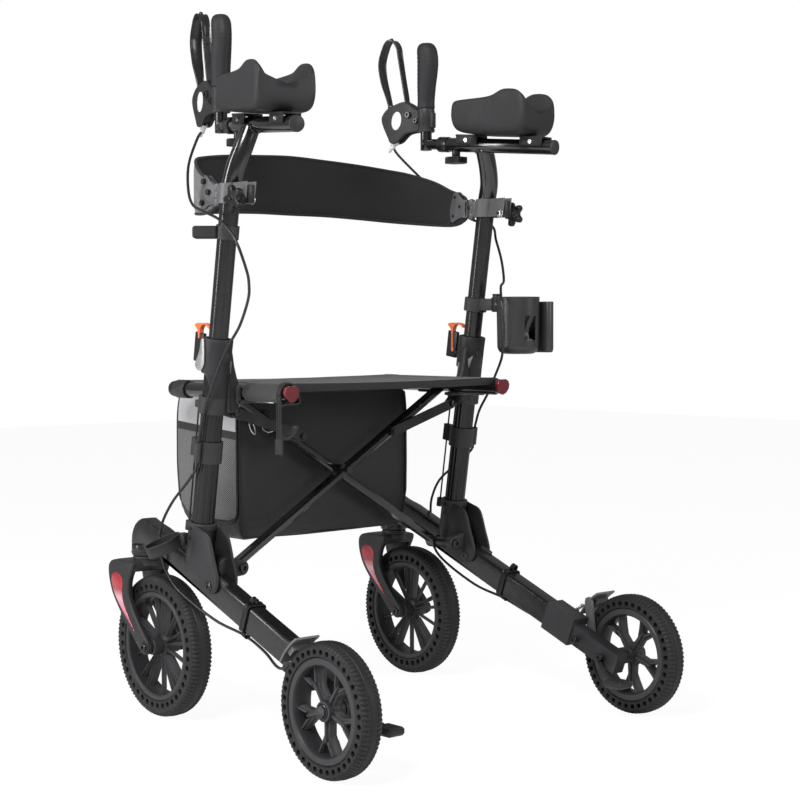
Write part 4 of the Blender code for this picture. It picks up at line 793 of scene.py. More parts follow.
def posts():
    bm = fluted(0.2865, 0.64, OUTER_POST_RADIUS - 0.0001, 10, 0.0013, 120, 0.6)
    piece(bm, "outer_post", "anodised", "side", ("outer_post",), 30)
    bm = fluted(0.48, 0.868, INNER_POST_RADIUS - 0.0001, 8, 0.0005, 96, math.pi)
    piece(bm, "inner_post_shaft", "satin", "height", ("inner_post",), 30)
    path = [on_post(0.862), *smooth([on_post(0.868), on_post(0.887), (0.2781, 0.0333, 0.914),
                                     (0.269, 0.0268, 0.943), (0.2577, 0.0234, 0.974)], 8)]
    bm = swept(path, INNER_POST_RADIUS, 48)
    end = path[-1]
    along = (path[-1] - path[-2]).normalized()
    side = along.orthogonal().normalized()
    other = along.cross(side)
    weld = []
    for a in angles(48):
        ray = side * math.cos(a) + other * math.sin(a)
        spot = end + ray * (INNER_POST_RADIUS + 0.0002)
        drop = (spot - arm_axis(0)).dot(ARM_ALONG)
        center = arm_axis(0) + ARM_ALONG * drop
        lift = (spot - center).z
        across = (spot - center).dot(ARM_SIDE)
        want = -math.sqrt(ARM_RADIUS ** 2 - min(across ** 2, ARM_RADIUS ** 2))
        weld.append(spot + along * ((want - lift) / max(0.3, along.z)))
    swept([*weld, weld[0]], [0.0017 + 0.0004 * math.sin(k * 2.7) for k in range(49)], 8, bm)
    rod(arm_axis(-0.003), arm_axis(0.241), ARM_RADIUS, 48, bm)
    piece(bm, "inner_post_bend", "gloss", "height", angle=38)
    bm = turned([(0, 0), (0.0118, 0), (0.0127, 0.0006), (0.013, 0.0018), (0.013, 0.003), (0.0118, 0.0032),
                 (0, 0.0032)],
                arm_axis(-0.0058), ARM_ALONG, 48)
    piece(bm, "arm_cap", "plastic", "height")
    bm = turned([(0.0101, 0), (0.0134, 0), (0.0139, 0.0006), (0.0139, 0.0195), (0.0134, 0.0203),
                 (0.0101, 0.0203)],
                arm_axis(0.2225), ARM_ALONG, 48, True)
    rod(arm_axis(0.207, -0.0216), arm_axis(0.207, -0.006), 0.0075, 32, bm)
    piece(bm, "arm_bush", "satin", "height")


rear_wheel()
front_wheel()
fork()
leg_piece()
posts()


# Soft goods


def section_of(path, thick):
    """A closed loop round an open path in a plane, as thick as told."""
    outer, inner = [], []
    for i, point in enumerate(path):
        after = Vector(path[min(i + 1, len(path) - 1)])
        before = Vector(path[max(i - 1, 0)])
        along = (after - before).normalized()
        out = Vector((along.y, -along.x))
        outer.append(Vector(point) + out * thick / 2)
        inner.append(Vector(point) - out * thick / 2)
    return outer + inner[::-1]


def seat_piece():
    radius = RAIL_RADIUS + 0.0003 + 0.0012
    rows = []
    gates = {1: ((0.064, 0.122), (0.168, 0.272)), -1: ((0.064, 0.152), (0.168, 0.272))}
    ends = {g for pairs in gates.values() for pair in pairs for g in pair if g < 0.268}
    stops = sorted({-0.03, 0.268, *[g + s for g in ends for s in (-0.0006, 0.0006)],
                    *[-0.03 + 0.298 * k / 36 for k in range(1, 36)]})
    for y in stops:
        path = []
        for side in (1, -1):
            end = 84 if any(gate[0] < y < gate[1] for gate in gates[side]) else -118
            part = []
            for k in range(15):
                a = math.radians(end + (90 - end) * k / 14)
                part.append((side * (RAIL_X + radius * math.cos(a)), RAIL_Z + radius * math.sin(a)))
            path.append(part)
        middle = []
        for k in range(1, 24):
            x = RAIL_X - 2 * RAIL_X * k / 24
            t = 1 - (x / RAIL_X) ** 2
            sag = -0.0035 * t * (0.6 + 0.4 * math.sin(math.pi * (y + 0.03) / 0.298))
            ripple = 0.0006 * noise.noise(Vector((x * 14, y * 22, 3.1))) * t
            middle.append((x, RAIL_Z + radius + sag + ripple))
        line = path[0] + middle + path[1][::-1]
        rows.append([Vector((x, y, z)) for x, z in section_of(line, 0.0022)])
    piece(skin(rows), "seat", "seat", "soft_goods", ("seat",), 60, mirror=False)
    rows = []
    for k in range(41):
        x = (RAIL_X - 0.002) * (1 - 2 * k / 40)
        t = 1 - (x / RAIL_X) ** 2
        top = RAIL_Z + radius + 0.002 - 0.0024 * t
        deep = 0.0125 - 0.001 * abs(noise.noise(Vector((x * 9, 0, 7))))
        rows.append([Vector((x, y, z)) for y, z in
                     ((-0.029, top), (-0.0312, top - 0.0006), (-0.0324, top - 0.003),
                      (-0.0326, top - deep * 0.55), (-0.032, top - deep + 0.001), (-0.0308, top - deep),
                      (-0.0296, top - deep + 0.001), (-0.0296, top - 0.003))])
    hem = skin(rows)
    piece(hem, "seat_hem", "binding", "soft_goods", angle=60, mirror=False)
    bm = bmesh.new()
    for k in range(70):
        x = (RAIL_X - 0.012) * (1 - 2 * k / 69)
        t = 1 - (x / RAIL_X) ** 2
        z = RAIL_Z + radius + 0.0014 - 0.0035 * t * 0.62
        rod((x - 0.0018, -0.0155, z), (x + 0.0018, -0.0155, z), 0.00035, 6, bm, edge=0.0001)
    piece(bm, "seat_stitches", "panel", "soft_goods", mirror=False, angle=38)


BAG_ROWS = ((0.3, 0.9, 0.166, 0.285), (0.312, 0.955, 0.16, 0.312), (0.345, 0.99, 0.157, 0.342),
            (0.4, 1.0, 0.156, 0.352), (0.45, 1.0, 0.156, 0.354), (0.5, 1.0, 0.156, 0.353),
            (0.53, 0.995, 0.157, 0.35), (0.545, 0.985, 0.158, 0.346))
BAG_HALF = 0.188
BAG_LINE_SLOPE = 0.075
SIDE_SHARE = 0.92


def bag_row(z):
    """Half width, rear and front of the bag at a height."""
    line = smooth([(wide, back, front) for _, wide, back, front in BAG_ROWS], 12)
    heights = smooth([(row[0], 0, 0) for row in BAG_ROWS], 12)
    best = min(range(len(heights)), key=lambda i: abs(heights[i].x - z))
    return line[best].x * BAG_HALF, line[best].y, line[best].z


def bag_side(z):
    """Half width, rear and end of the flat side of the bag at a height."""
    half, back, front = bag_row(z)
    return half, back, back + (front - back) * SIDE_SHARE


def bag_crease(x, y, z, lower):
    """How far a crease moves the cloth of the bag."""
    return (noise.noise(Vector((x * 16, y * 16, z * 16))) * 0.0016
            + noise.noise(Vector((x * 7 + 4, y * 9, z * 26))) * 0.003 * lower
            + noise.noise(Vector((x * 22 + z * 18, y, z * 9))) * 0.0008)


def bag_shell():
    rows = []
    for i in range(45):
        z = 0.3005 + (0.545 - 0.3005) * i / 44
        half, back, front = bag_row(z)
        side = bag_side(z)[2]
        lower = max(0.0, 1 - (z - 0.3) / 0.1)
        right = [(half * 0.985, back + 0.003), (half, back + 0.012), (half + 0.0008, (back + side) / 2),
                 (half, side), (half * 0.93, side + (front - side) * 0.42),
                 (half * 0.72, side + (front - side) * 0.8), (half * 0.4, front - 0.0005)]
        key = [*right, (0.0, front), *((-x, y) for x, y in right[::-1])]
        ring = []
        for x, y in [tuple(p)[:2] for p in smooth([(x, y, 0) for x, y in key], 4)]:
            crease = abs(bag_crease(x, y, z, lower)) * min(1.0, abs(y - back) / 0.02)
            out = Vector((x * 0.4, y - (back + 0.05), 0)).normalized()
            ring.append(Vector((x, y, z - lower ** 2 * 0.003)) - out * crease)
        for k in range(1, 28):
            x = -half * 0.985 + 2 * half * 0.985 * k / 28
            t = 1 - (x / half) ** 2
            drape = max(0.0, noise.noise(Vector((x * 9 + z * 7, z * 12, 5.0)))) * 0.0035 * min(1.0,
                                                                                               lower + 0.25)
            y = back + (bag_crease(x, back, z, lower) + 0.0014 + drape) * t
            ring.append(Vector((x, y, z - lower ** 2 * 0.004 * t)))
        rows.append(ring)
    piece(skin(rows), "bag", "nylon", "soft_goods", ("bag",), 70, mirror=False)
    bm = bmesh.new()
    for sign in (1, -1):
        block((sign * 0.1905, 0.21, 0.5484), (0.049, 0.06, 0.0085), None, 0.0015, 2, bm)
    piece(bm, "bag_flaps", "binding", "soft_goods", mirror=False, angle=38)


def bag_nets():
    """The net, the band over it and the pale panel on each side of the bag."""
    for name, material, low, high, proud, thick in (("bag_mesh", "mesh", 0.33, 0.4705, 0.0016, 0.001),
                                                    ("bag_band", "binding", 0.469, 0.482, 0.002, 0.0016),
                                                    ("bag_panel", "panel", 0.4815, 0.54, 0.0012, 0.001)):
        rings = []
        for i in range(25):
            share = i / 24
            z = low + (high - low) * i / 24
            half, back, side = bag_side(z)
            first, last, belly = back + 0.006, side - 0.001, 0.001
            if name == "bag_mesh":
                bite = max(0.0, 1 - (z - low) / 0.024)
                inset = 0.024 * (1 - math.sqrt(max(0.0, 1 - bite ** 2)))
                first, last = first + inset, last - inset
                belly = 0.0035 * math.sin(math.pi * min(1.0, share * 0.9 + 0.1))
            rise = {"bag_mesh": share, "bag_band": 1.0, "bag_panel": 1 - share}[name] * BAG_LINE_SLOPE
            outer = []
            for k in range(17):
                y = first + (last - first) * k / 16
                x = half + proud + math.sin(math.pi * k / 16) * belly
                outer.append(Vector((x, y, z + rise * (y - first))))
            rings.append(outer + [p - Vector((thick, 0, 0)) for p in outer[::-1]])
        piece(skin(rings), name, material, "soft_goods", angle=60)


def bag_trim():
    heights = (0.54, 0.515, 0.49, 0.455, 0.42, 0.385, 0.357)
    half, back, side = bag_side(0.333)
    line = [(bag_side(z)[0] + 0.0016, bag_side(z)[1] + 0.0045, z) for z in heights]
    line += [(half + 0.0016, back + 0.01, 0.3375), (half + 0.0014, back + 0.026, 0.327),
             (half + 0.0012, (back + side) / 2, 0.3255), (half + 0.0012, side - 0.024, 0.327),
             (half + 0.0012, side - 0.008, 0.337)]
    line += [(bag_side(z)[0] + 0.0012, bag_side(z)[2] + 0.0005, z) for z in heights[::-1]]
    piece(swept(smooth(line, 5), 0.0017, 10), "bag_piping", "plastic", "soft_goods", angle=60)
    bm = bmesh.new()
    for sign in (1, -1):
        edge_line = []
        for k in range(26):
            z = 0.304 + (0.543 - 0.304) * k / 25
            half, back, _ = bag_side(z)
            edge_line.append((sign * (half * 0.985 + 0.0008), back + 0.0012, z))
        swept(edge_line, 0.0016, 10, bm)
    half, back, _ = bag_side(0.3035)
    lower_line = []
    for k in range(33):
        x = half * (1 - 2 * k / 32)
        t = 1 - (x / half) ** 2
        lower_line.append((x, back + 0.0015 + 0.0014 * t, 0.3025 - 0.004 * t))
    swept(lower_line, 0.0013, 8, bm)
    piece(bm, "bag_edges", "binding", "soft_goods", angle=60, mirror=False)


BELT_PLAN = [(0.2757, 0.089, 0.856, 0.889), (0.2757, 0.093, 0.851, 0.895), (0.2757, 0.11, 0.844, 0.903),
             (0.2747, 0.132, 0.842, 0.91), (0.2635, 0.165, 0.844, 0.927), (0.237, 0.204, 0.848, 0.942),
             (0.205, 0.226, 0.851, 0.949), (0.15, 0.243, 0.855, 0.956), (0.075, 0.252, 0.858, 0.961),
             (0, 0.255, 0.858, 0.964)]


def belt_piece():
    plan = BELT_PLAN + [(-x, y, low, high) for x, y, low, high in reversed(BELT_PLAN[:-1])]
    line = smooth([(x, y, 0) for x, y, _, _ in plan], 6)
    spans = smooth([(low, high, 0) for _, _, low, high in plan], 6)
    sections, edges_top, edges_low = [], [], []
    for i, point in enumerate(line):
        along = (line[min(i + 1, len(line) - 1)] - line[max(i - 1, 0)]).normalized()
        deep = Vector((-along.y, along.x, 0))
        low, high = spans[i].x, spans[i].y
        ring = []
        for sign in (-1, 1):
            for k in range(13):
                v = k / 12 if sign < 0 else 1 - k / 12
                z = low + 0.0022 + (high - low - 0.0044) * v
                puff = 0.003 * (1 - abs(2 * v - 1) ** 6) + 0.0003
                ring.append(Vector((point.x, point.y, z)) + deep * sign * puff)
        sections.append(ring)
        edges_top.append(Vector((point.x, point.y, high - 0.0022)))
        edges_low.append(Vector((point.x, point.y, low + 0.0022)))
    bm = skin(sections)
    for index, face in enumerate(bm.faces):
        if index < (len(sections) - 1) * 26:
            face.material_index = 0 if index % 26 < 12 or index % 26 == 25 else 1
    piece(bm, "belt", ("belt_outside", "belt_inside"), "height_left", ("belt",), 70, mirror=False)
    bm = bmesh.new()
    for edge in (edges_top, edges_low):
        swept(edge, 0.0026, 10, bm)
    for index in (0, -1):
        swept([edges_low[index], (edges_low[index] + edges_top[index]) / 2, edges_top[index]], 0.0026, 10,
              bm)
    piece(bm, "belt_binding", "binding", "height_left", angle=60, mirror=False)


def pad_piece():
    stations = [(0.0272, 0.046, 0.074), (0.0284, 0.037, 0.082), (0.032, 0.029, 0.0875),
                (0.038, 0.0225, 0.0925), (0.045, 0.0188, 0.0962), (0.056, 0.018, 0.0972),
                (0.07, 0.018, 0.0968), (0.078, 0.018, 0.0945), (0.087, 0.018, 0.0895), (0.096, 0.018, 0.085),
                (0.11, 0.018, 0.082), (0.135, 0.018, 0.0795), (0.16, 0.0182, 0.077), (0.172, 0.02, 0.0755),
                (0.178, 0.024, 0.073), (0.1815, 0.03, 0.069), (0.183, 0.038, 0.063)]
    rings = []
    for h, low, high in stations:
        near_end = min(1.0, (h - 0.0265) / 0.012, (0.1838 - h) / 0.01)
        wide = 0.052 - 0.004 * (1 - near_end) ** 2
        lip = min(0.0475, wide - 0.0045)
        floor = max(low + 0.012, 0.0505 - 0.004 * (1 - near_end))
        ring = [(0, low), (0.026, low), (wide - 0.011, low + 0.0006), (wide - 0.003, low + 0.005),
                (wide, low + 0.014), (wide + 0.0002, (low + high) / 2), (wide - 0.0006, high - 0.008),
                (wide - 0.0022, high - 0.0022), (lip, high)]
        for t in (0.95, 0.88, 0.78, 0.66, 0.52, 0.36, 0.18):
            x = (lip - 0.0035) * t / 0.95
            ring.append((x, floor + (high - 0.0012 - floor) * (t / 0.95) ** 2.1))
        ring.append((0, floor))
        rings.append([arm_axis(h, z, x) for x, z in ring + [(-x, z) for x, z in ring[-2:0:-1]]])
    for made in piece(skin(rings), "forearm_pad", "foam", "height", ("forearm_pad",), 80,
                      subdivide=2):
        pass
    bm = bmesh.new()
    turn = Matrix((ARM_SIDE, ARM_ALONG, ARM_SIDE.cross(ARM_ALONG))).transposed()
    for middle in (0.173, 0.036):
        block(arm_axis(middle, 0.0162), (0.034, 0.046, 0.0036), turn, 0.0008, 2, bm)
        for sign in (1, -1):
            block(arm_axis(middle, 0.0085, sign * 0.015), (0.003, 0.046, 0.015), turn, 0.0008, 2, bm)
    piece(bm, "pad_brackets", "black_plastic", "height", angle=38)
    bm = bmesh.new()
    for middle in (0.173, 0.036):
        for sign in (1, -1):
            bolt(arm_axis(middle, 0.008, sign * 0.0166), ARM_SIDE * sign, 0.004, 0.0024, bm)
            spot = arm_axis(middle + 0.014, 0.0144, sign * 0.011)
            rod(spot, spot - Vector((0, 0, 0.003)), 0.0038, 6, bm, edge=0.0003)
    piece(bm, "pad_bolts", "steel", "height", angle=38)


seat_piece()
bag_shell()
bag_nets()
bag_trim()
belt_piece()
pad_piece()


# Handles


CORNER = ((1.0, 0.35), (0.97, 0.9), (0.9, 1.15), (0.8, 1.15), (0.72, 0.8))
BAND = [*((-u, -v) for u, v in CORNER), (0, -0.72), *((u, -v) for u, v in CORNER[::-1]),
        *CORNER, (0, 0.72), *((-u, v) for u, v in CORNER[::-1])]


def rounded_band(points, width, thick, across, into=None):
    """A flat strap on edge along the points, with rounded rims that stand a little proud."""
    line = [Vector(p) for p in points]
    side = Vector(across).normalized()
    rings = []
    for i, point in enumerate(line):
        run = (line[min(i + 1, len(line) - 1)] - line[max(i - 1, 0)]).normalized()
        out = run.cross(side).normalized()
        half = (width[i] if isinstance(width, list) else width) / 2
        rings.append([point + side * (half * u) + out * (thick / 2 * v) for u, v in BAND])
    return skin(rings, into=into)


def extension_piece():
    bm = bmesh.new()
    rod(arm_axis(0.135), arm_axis(STEM_AT), 0.0096, 40, bm, edge=0.0003)
    rod(arm(STEM_AT, 0.012), arm(STEM_AT, 0.15), 0.0104, 40, bm, edge=0.0003)
    ball = [(0.0105 * math.sin(math.pi * k / 12), -0.0105 * math.cos(math.pi * k / 12)) for k in range(13)]
    turned(ball, arm(STEM_AT, 0.0235), UP, 40, False, bm)
    piece(bm, "extension", "gloss", "handle", ("extension",), angle=38)


def brake_housing():
    outline = [(353, 95), (340, 99), (320, 103), (306, 97.5), (292, 88), (279, 81), (276, 72), (276, 60),
               (280, 51), (289, 46.5), (303, 45.5), (315, 43.5), (323, 38.5), (330, 32.5), (337, 29),
               (346, 28), (352, 31), (357, 41), (365.5, 57), (370.5, 70), (370, 79), (364, 87)]
    line = rounded([(a / 1000, b / 1000) for a, b in outline], 3)
    bm = bmesh.new()
    for sign in (1, -1):
        plate(line, 0.0052, Vector(ARM_CAP) + ARM_SIDE * sign * 0.0083, ARM_SIDE, bevel=0.002, segments=3,
              into=bm)
    core = [(288, 50), (304, 50), (318, 47), (331, 38), (345, 33), (352, 42), (361, 60), (366, 72),
            (345, 67), (320, 56), (303, 58), (294, 66), (288, 80), (281, 76), (281, 56)]
    plate([(a / 1000, b / 1000) for a, b in core], 0.015, ARM_CAP, ARM_SIDE, bevel=0.0005, into=bm)
    turned([(0.0108, 0.045), (0.0148, 0.045), (0.0158, 0.0465), (0.0158, 0.05), (0.015, 0.0512),
            (0.015, 0.06), (0.0157, 0.0615), (0.0157, 0.0835), (0.015, 0.0865), (0.0135, 0.0875),
            (0.0108, 0.0875)],
           arm(STEM_AT, 0), UP, 48, True, bm)
    turn = Matrix((ARM_SIDE, ARM_FLAT, UP)).transposed()
    block(arm(0.261, 0.066), (0.012, 0.01, 0.028), turn, 0.002, 3, bm)
    piece(bm, "brake_housing", "plastic", "handle", angle=32)
    bm = bmesh.new()
    oval = [(0.3345 + 0.0108 * math.cos(a) - 0.003 * math.sin(a),
             0.069 + 0.0165 * math.sin(a) + 0.002 * math.cos(a))
            for a in angles(48)]
    for sign in (1, -1):
        plate(oval, 0.0012, Vector(ARM_CAP) + ARM_SIDE * sign * 0.0112, ARM_SIDE, bevel=0.0004, segments=2,
              into=bm)
    piece(bm, "housing_badge", "white", "handle")
    bm = bmesh.new()
    for a, b, radius in ((0.307, 0.078, 0.0062), (0.289, 0.066, 0.005)):
        for sign in (1, -1):
            rod(arm(a, b, sign * 0.0105), arm(a, b, sign * 0.0118), radius + 0.0014, 32, bm, edge=0.0003)
            bolt(arm(a, b, sign * 0.0118), ARM_SIDE * sign, radius, 0.0036, bm)
    piece(bm, "housing_bolts", "dark_steel", "handle")
    start = arm(0.3445, 0.0305)
    along = (Vector(CABLE_TOP[0]) - start).normalized()
    bm = turned([(0.0025, -0.004), (0.0052, -0.004), (0.0056, 0), (0.0056, 0.0035), (0.0043, 0.0045),
                 (0.0043, 0.008), (0.005, 0.009), (0.005, 0.013), (0.0034, 0.015), (0.0031, 0.022),
                 (0.0024, 0.0232)],
                start, along, 32)
    piece(bm, "cable_adjuster", "white", "handle")


def lever_piece():
    hub = [(299.5, 81), (300, 74), (306, 70), (313, 70.5), (322, 77), (334, 82.5), (345, 87), (358, 91),
           (360, 97), (356, 101), (350, 99), (340, 95.5), (330, 97), (325, 100), (321, 104), (315, 104),
           (311, 98), (306, 90)]
    line = rounded([(a / 1000, b / 1000) for a, b in hub], 3)
    bm = plate(line, 0.0112, ARM_CAP, ARM_SIDE, bevel=0.0015, segments=2)
    line = [(316.5, 96, 12), (320, 115, 14), (326, 145, 14), (333, 182, 15), (336, 200, 16), (340, 209, 17),
            (347, 216, 18), (356, 218, 19), (362, 214, 20), (367, 206, 21), (375, 185, 22), (376, 168, 22),
            (373, 150, 21), (369, 135, 20), (362, 115, 16), (355.5, 94, 12)]
    shaped = smooth(line, 6)
    points = [arm(p.x / 1000, p.y / 1000) for p in shaped]
    rounded_band(points, [p.z / 1000 for p in shaped], 0.003, ARM_SIDE, bm)
    rod(arm(0.3535, 0.2165), arm(0.3545, 0.2225), 0.0042, 24, bm, 0.003, 0.001)
    piece(bm, "brake_lever", "satin", "lever", ("brake_lever",), 40)
    # Dark discs on both faces of the lever at its two holes: painted shade for the holes.
    bm = bmesh.new()
    for a, b in ((0.3295, 0.166), (0.3325, 0.181)):
        out = (arm(a, b) - arm(a - 0.01, b - 0.002)).normalized()
        for sign in (1, -1):
            spot = arm(a, b) + out * sign * 0.0016
            rod(spot - out * sign * 0.0004, spot + out * sign * 0.0001, 0.0019, 16, bm, edge=0.0001)
    piece(bm, "lever_hole_shade", "hole", "lever")


def grip_piece():
    key = [(0.0878, 0, 0.0165, 0.016), (0.0905, 0, 0.017, 0.0163), (0.1, 0, 0.0167, 0.016),
           (0.125, -0.001, 0.0185, 0.0165), (0.15, -0.003, 0.0208, 0.0167), (0.172, -0.004, 0.0218, 0.0167),
           (0.19, -0.0025, 0.0208, 0.0165), (0.198, -0.0012, 0.0185, 0.0152),
           (0.203, -0.0006, 0.015, 0.0125), (0.2055, -0.0002, 0.0105, 0.0088)]
    heights = smooth([(h, s, 0) for h, s, _, _ in key], 10)
    sizes = smooth([(w, d, 0) for _, _, w, d in key], 10)
    rings = []
    for place, size in zip(heights, sizes):
        height, shift = place.x, place.y
        fade = min(1.0, max(0.0, (height - 0.094) / 0.012), max(0.0, (0.196 - height) / 0.012))
        wave = 0.00075 * (0.5 - 0.5 * math.cos(2 * math.pi * (height - 0.0905) / 0.0075))
        ring = []
        for a in angles(56):
            rib = wave * (0.25 + 0.75 * max(0.0, math.cos(a)) ** 2) * fade
            flat = 1 - 0.05 * abs(math.sin(2 * a)) ** 2
            ring.append(arm(STEM_AT + shift + (size.x * flat - rib) * math.cos(a), height,
                            (size.y * flat - rib) * math.sin(a)))
        rings.append(ring)
    piece(skin(rings), "grip", "grip", "handle", ("grip",), 50)


# Cables

CABLE_RADIUS = 0.0023
CABLE_STRAP = Vector((0.307, 0.1003, 0.4772))
CABLE_TOP = [(0.2125, 0.2212, 0.9915), (0.226, 0.2185, 0.9743), (0.262, 0.19, 0.9284), (0.29, 0.15, 0.8832),
             (0.308, 0.1104, 0.856), (0.316, 0.0651, 0.8422)]
CABLE_LEFT = [(0.32, 0.0156, 0.8254), (0.318, -0.02, 0.7942), (0.308, -0.0345, 0.748),
              (0.302, -0.0328, 0.7248), (0.3, -0.0272, 0.7017), (0.3, -0.0055, 0.6628),
              (0.302, 0.019, 0.6345), (0.303, 0.0397, 0.609), (0.305, 0.0593, 0.5752),
              (0.3065, 0.076, 0.5428), (0.3068, 0.0905, 0.51)]
CABLE_RIGHT = [(0.312, 0.05, 0.8154), (0.3, 0.024, 0.779), (0.282, -0.0007, 0.7421), (0.256, -0.02, 0.73),
               (0.244, -0.033, 0.71), (0.24, -0.04, 0.692), (0.2395, -0.043, 0.67), (0.2395, -0.044, 0.6424),
               (0.244, -0.036, 0.612), (0.252, -0.0228, 0.596), (0.27, 0.0095, 0.5705),
               (0.29, 0.048, 0.5387), (0.3035, 0.085, 0.506)]
CABLE_LOW = [(0.305, 0.115, 0.426), (0.301, 0.15, 0.4), (0.299, 0.19, 0.37), (0.3025, 0.215, 0.335),
             (0.3045, 0.221, 0.305), (0.3035, 0.217, 0.275), (0.298, 0.206, 0.2457), (0.295, 0.1714, 0.219),
             (0.29, 0.0826, 0.185), (0.287, 0.0055, 0.17), (0.289, -0.05, 0.152), (0.298, -0.09, 0.138),
             (0.305, -0.115, 0.137), (0.306, -0.13, 0.144), (0.307, -0.145, 0.156)]


def cable(name, points, side, replaces=()):
    """A cable on one side along the points, as a round cord."""
    path = [Vector(((1 if side == "right" else -1) * p[0], p[1], p[2])) for p in points]
    made = piece(swept(path, CABLE_RADIUS, 12), f"{name}_{side}", "cable", None, replaces, 60,
                 mirror=False)[0]
    return made, path


def cables():
    for side, run in (("right", CABLE_RIGHT), ("left", CABLE_LEFT)):
        whole = smooth([*CABLE_TOP, *run, CABLE_STRAP], 8)
        split = 8 * 7
        made, path = cable("cable_top", whole[:split + 1], side)
        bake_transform(made)
        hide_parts(f"cable_upper_{side}")
        made, path = cable("cable_middle", whole[split:] + [CABLE_STRAP - POST_UP * 0.0195], side)
        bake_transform(made)
        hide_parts(f"cable_upper_{side}")
        lower = smooth([CABLE_STRAP - POST_UP * 0.042, *CABLE_LOW], 8)
        made, path = cable("cable_low", [CABLE_STRAP - POST_UP * 0.0205, *lower], side,
                           replaces=(f"cable_lower_{side}",))
        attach(made, f"{side}_side")


def cable_ends():
    """The spring at the brake shoe and the clip on the leg."""
    last, before = Vector(CABLE_LOW[-1]), Vector(CABLE_LOW[-2])
    along = (last - before).normalized()
    bm = turned([(0.0024, -0.006), (0.003, -0.005), (0.0032, 0.0), (0.004, 0.0005), (0.004, 0.0075),
                 (0.0031, 0.008), (0.0031, 0.013), (0.0038, 0.0135), (0.0038, 0.017), (0.0022, 0.0178),
                 (0.0022, 0.02), (0, 0.02)],
                last, along, 24)
    rod(last + along * 0.019, last + along * 0.034, 0.0009, 10, bm, edge=0.0001)
    turn = facing(along)
    coil = []
    for k in range(73):
        a = 2 * math.pi * k / 12
        coil.append(last + along * (0.02 + 0.013 * k / 72)
                    + turn @ Vector((0.0024 * math.cos(a), 0.0024 * math.sin(a), 0)))
    swept(coil, 0.00055, 8, bm)
    piece(bm, "brake_spring", "steel", "side")
    bm = bmesh.new()
    center = on_leg(-0.0106)
    line = [center + Vector(OUT) * x + LEG_UP * y for x, y in smooth_loop_flat(0.0172, 0.0242, 0.006)]
    rounded_band([*line, *line[:2]], 0.012, 0.002, LEG_ALONG, bm)
    for up in (-0.03, 0.03):
        spot = center + LEG_UP * up + Vector((0.004, 0, 0))
        loop = [spot + LEG_UP * (0.0056 * math.cos(a)) + Vector((0.0056 * math.sin(a), 0, 0))
                for a in [2 * math.pi * k / 24 for k in range(25)]]
        rounded_band(loop, 0.0085, 0.0016, LEG_ALONG, bm)
    piece(bm, "leg_clip", "black_plastic", "side", angle=45)


def smooth_loop_flat(half_x, half_y, corner):
    """Points of a rectangle with round corners."""
    points = []
    for sx, sy, start in ((1, 1, 0), (-1, 1, 90), (-1, -1, 180), (1, -1, 270)):
        for k in range(6):
            a = math.radians(start + 18 * k)
            points.append((sx * (half_x - corner) + corner * math.cos(a),
                           sy * (half_y - corner) + corner * math.sin(a)))
    return points


# Kept solids of the part


def dress(names, material, width=0.0008, segments=2):
    """Gives solids of the part their surface, softened edges and smooth round faces."""
    for name in names:
        obj = frame["nodes"][name]
        obj.data.materials.clear()
        obj.data.materials.append(M[material])
        old = obj.data.attributes.get("custom_normal")
        if old:
            obj.data.attributes.remove(old)
        obj.data.polygons.foreach_set("use_smooth", [True] * len(obj.data.polygons))
        joined = obj.modifiers.new("join", "WELD")
        joined.merge_threshold = 1e-5
        flat = obj.modifiers.new("flat", "DECIMATE")
        flat.decimate_type = "DISSOLVE"
        flat.angle_limit = math.radians(0.4)
        soften(obj, width, segments, 32)


def both(*names):
    return [f"{name}_{side}" for name in names for side in ("right", "left")]


dress(both("cable_strap", "leg_end"), "plastic", 0.0016, 3)
dress(both("brake_shoe"), "sheet", 0.0006)
dress(both("extension_knob"), "black_plastic", 0.0012, 3)
dress(both("link_plate"), "satin", 0.0006)
dress(["brace_a", "brace_b"], "gloss", 0.0006)
dress(["cane_clip"], "plastic", 0.0004)
dress(both("reflector"), "red", 0.0008)

extension_piece()
brake_housing()
lever_piece()
grip_piece()
cables()
cable_ends()


# Small pieces on posts and rails

CLAMP_Z = 0.8716
CLAMP_TALL = 0.032
STAR = (-0.0005, 0.86)
HINGE = (POST_X - 0.0006, 0.0809)
CUP = Vector((0.2915, -0.027, 0.0))
CUP_RADIUS = 0.0385
CUP_OPEN = math.radians(-96)
CUP_LOW = 0.6115
CUP_HIGH = 0.7117
POCKET = (0.3315, 0.349)
HOOK_Y = -0.037
LEAF = [(0.0835, 0.8565), (0.0835, 0.8872), (0.0905, 0.8888), (0.098, 0.8932), (0.105, 0.8995),
        (0.111, 0.9045), (0.1155, 0.9052), (0.1195, 0.901), (0.124, 0.89), (0.1275, 0.879), (0.129, 0.87),
        (0.1285, 0.861), (0.1268, 0.8535), (0.1232, 0.8503), (0.118, 0.8508), (0.1095, 0.8545),
        (0.1, 0.8568), (0.09, 0.8565)]
LEAF_HOLES = ((0.1154, 0.8955), (0.1028, 0.8774), (0.1205, 0.861))


def upright_strip(line, low, high, thick, into=None):
    """A bent strip of sheet standing on edge, leaning with the post."""
    loop = section_of(line, thick)
    rings = [[Vector((p.x, p.y - POST_LEAN * (z - CLAMP_Z), z)) for p in loop] for z in (low, high)]
    return skin(rings, True, True, into)


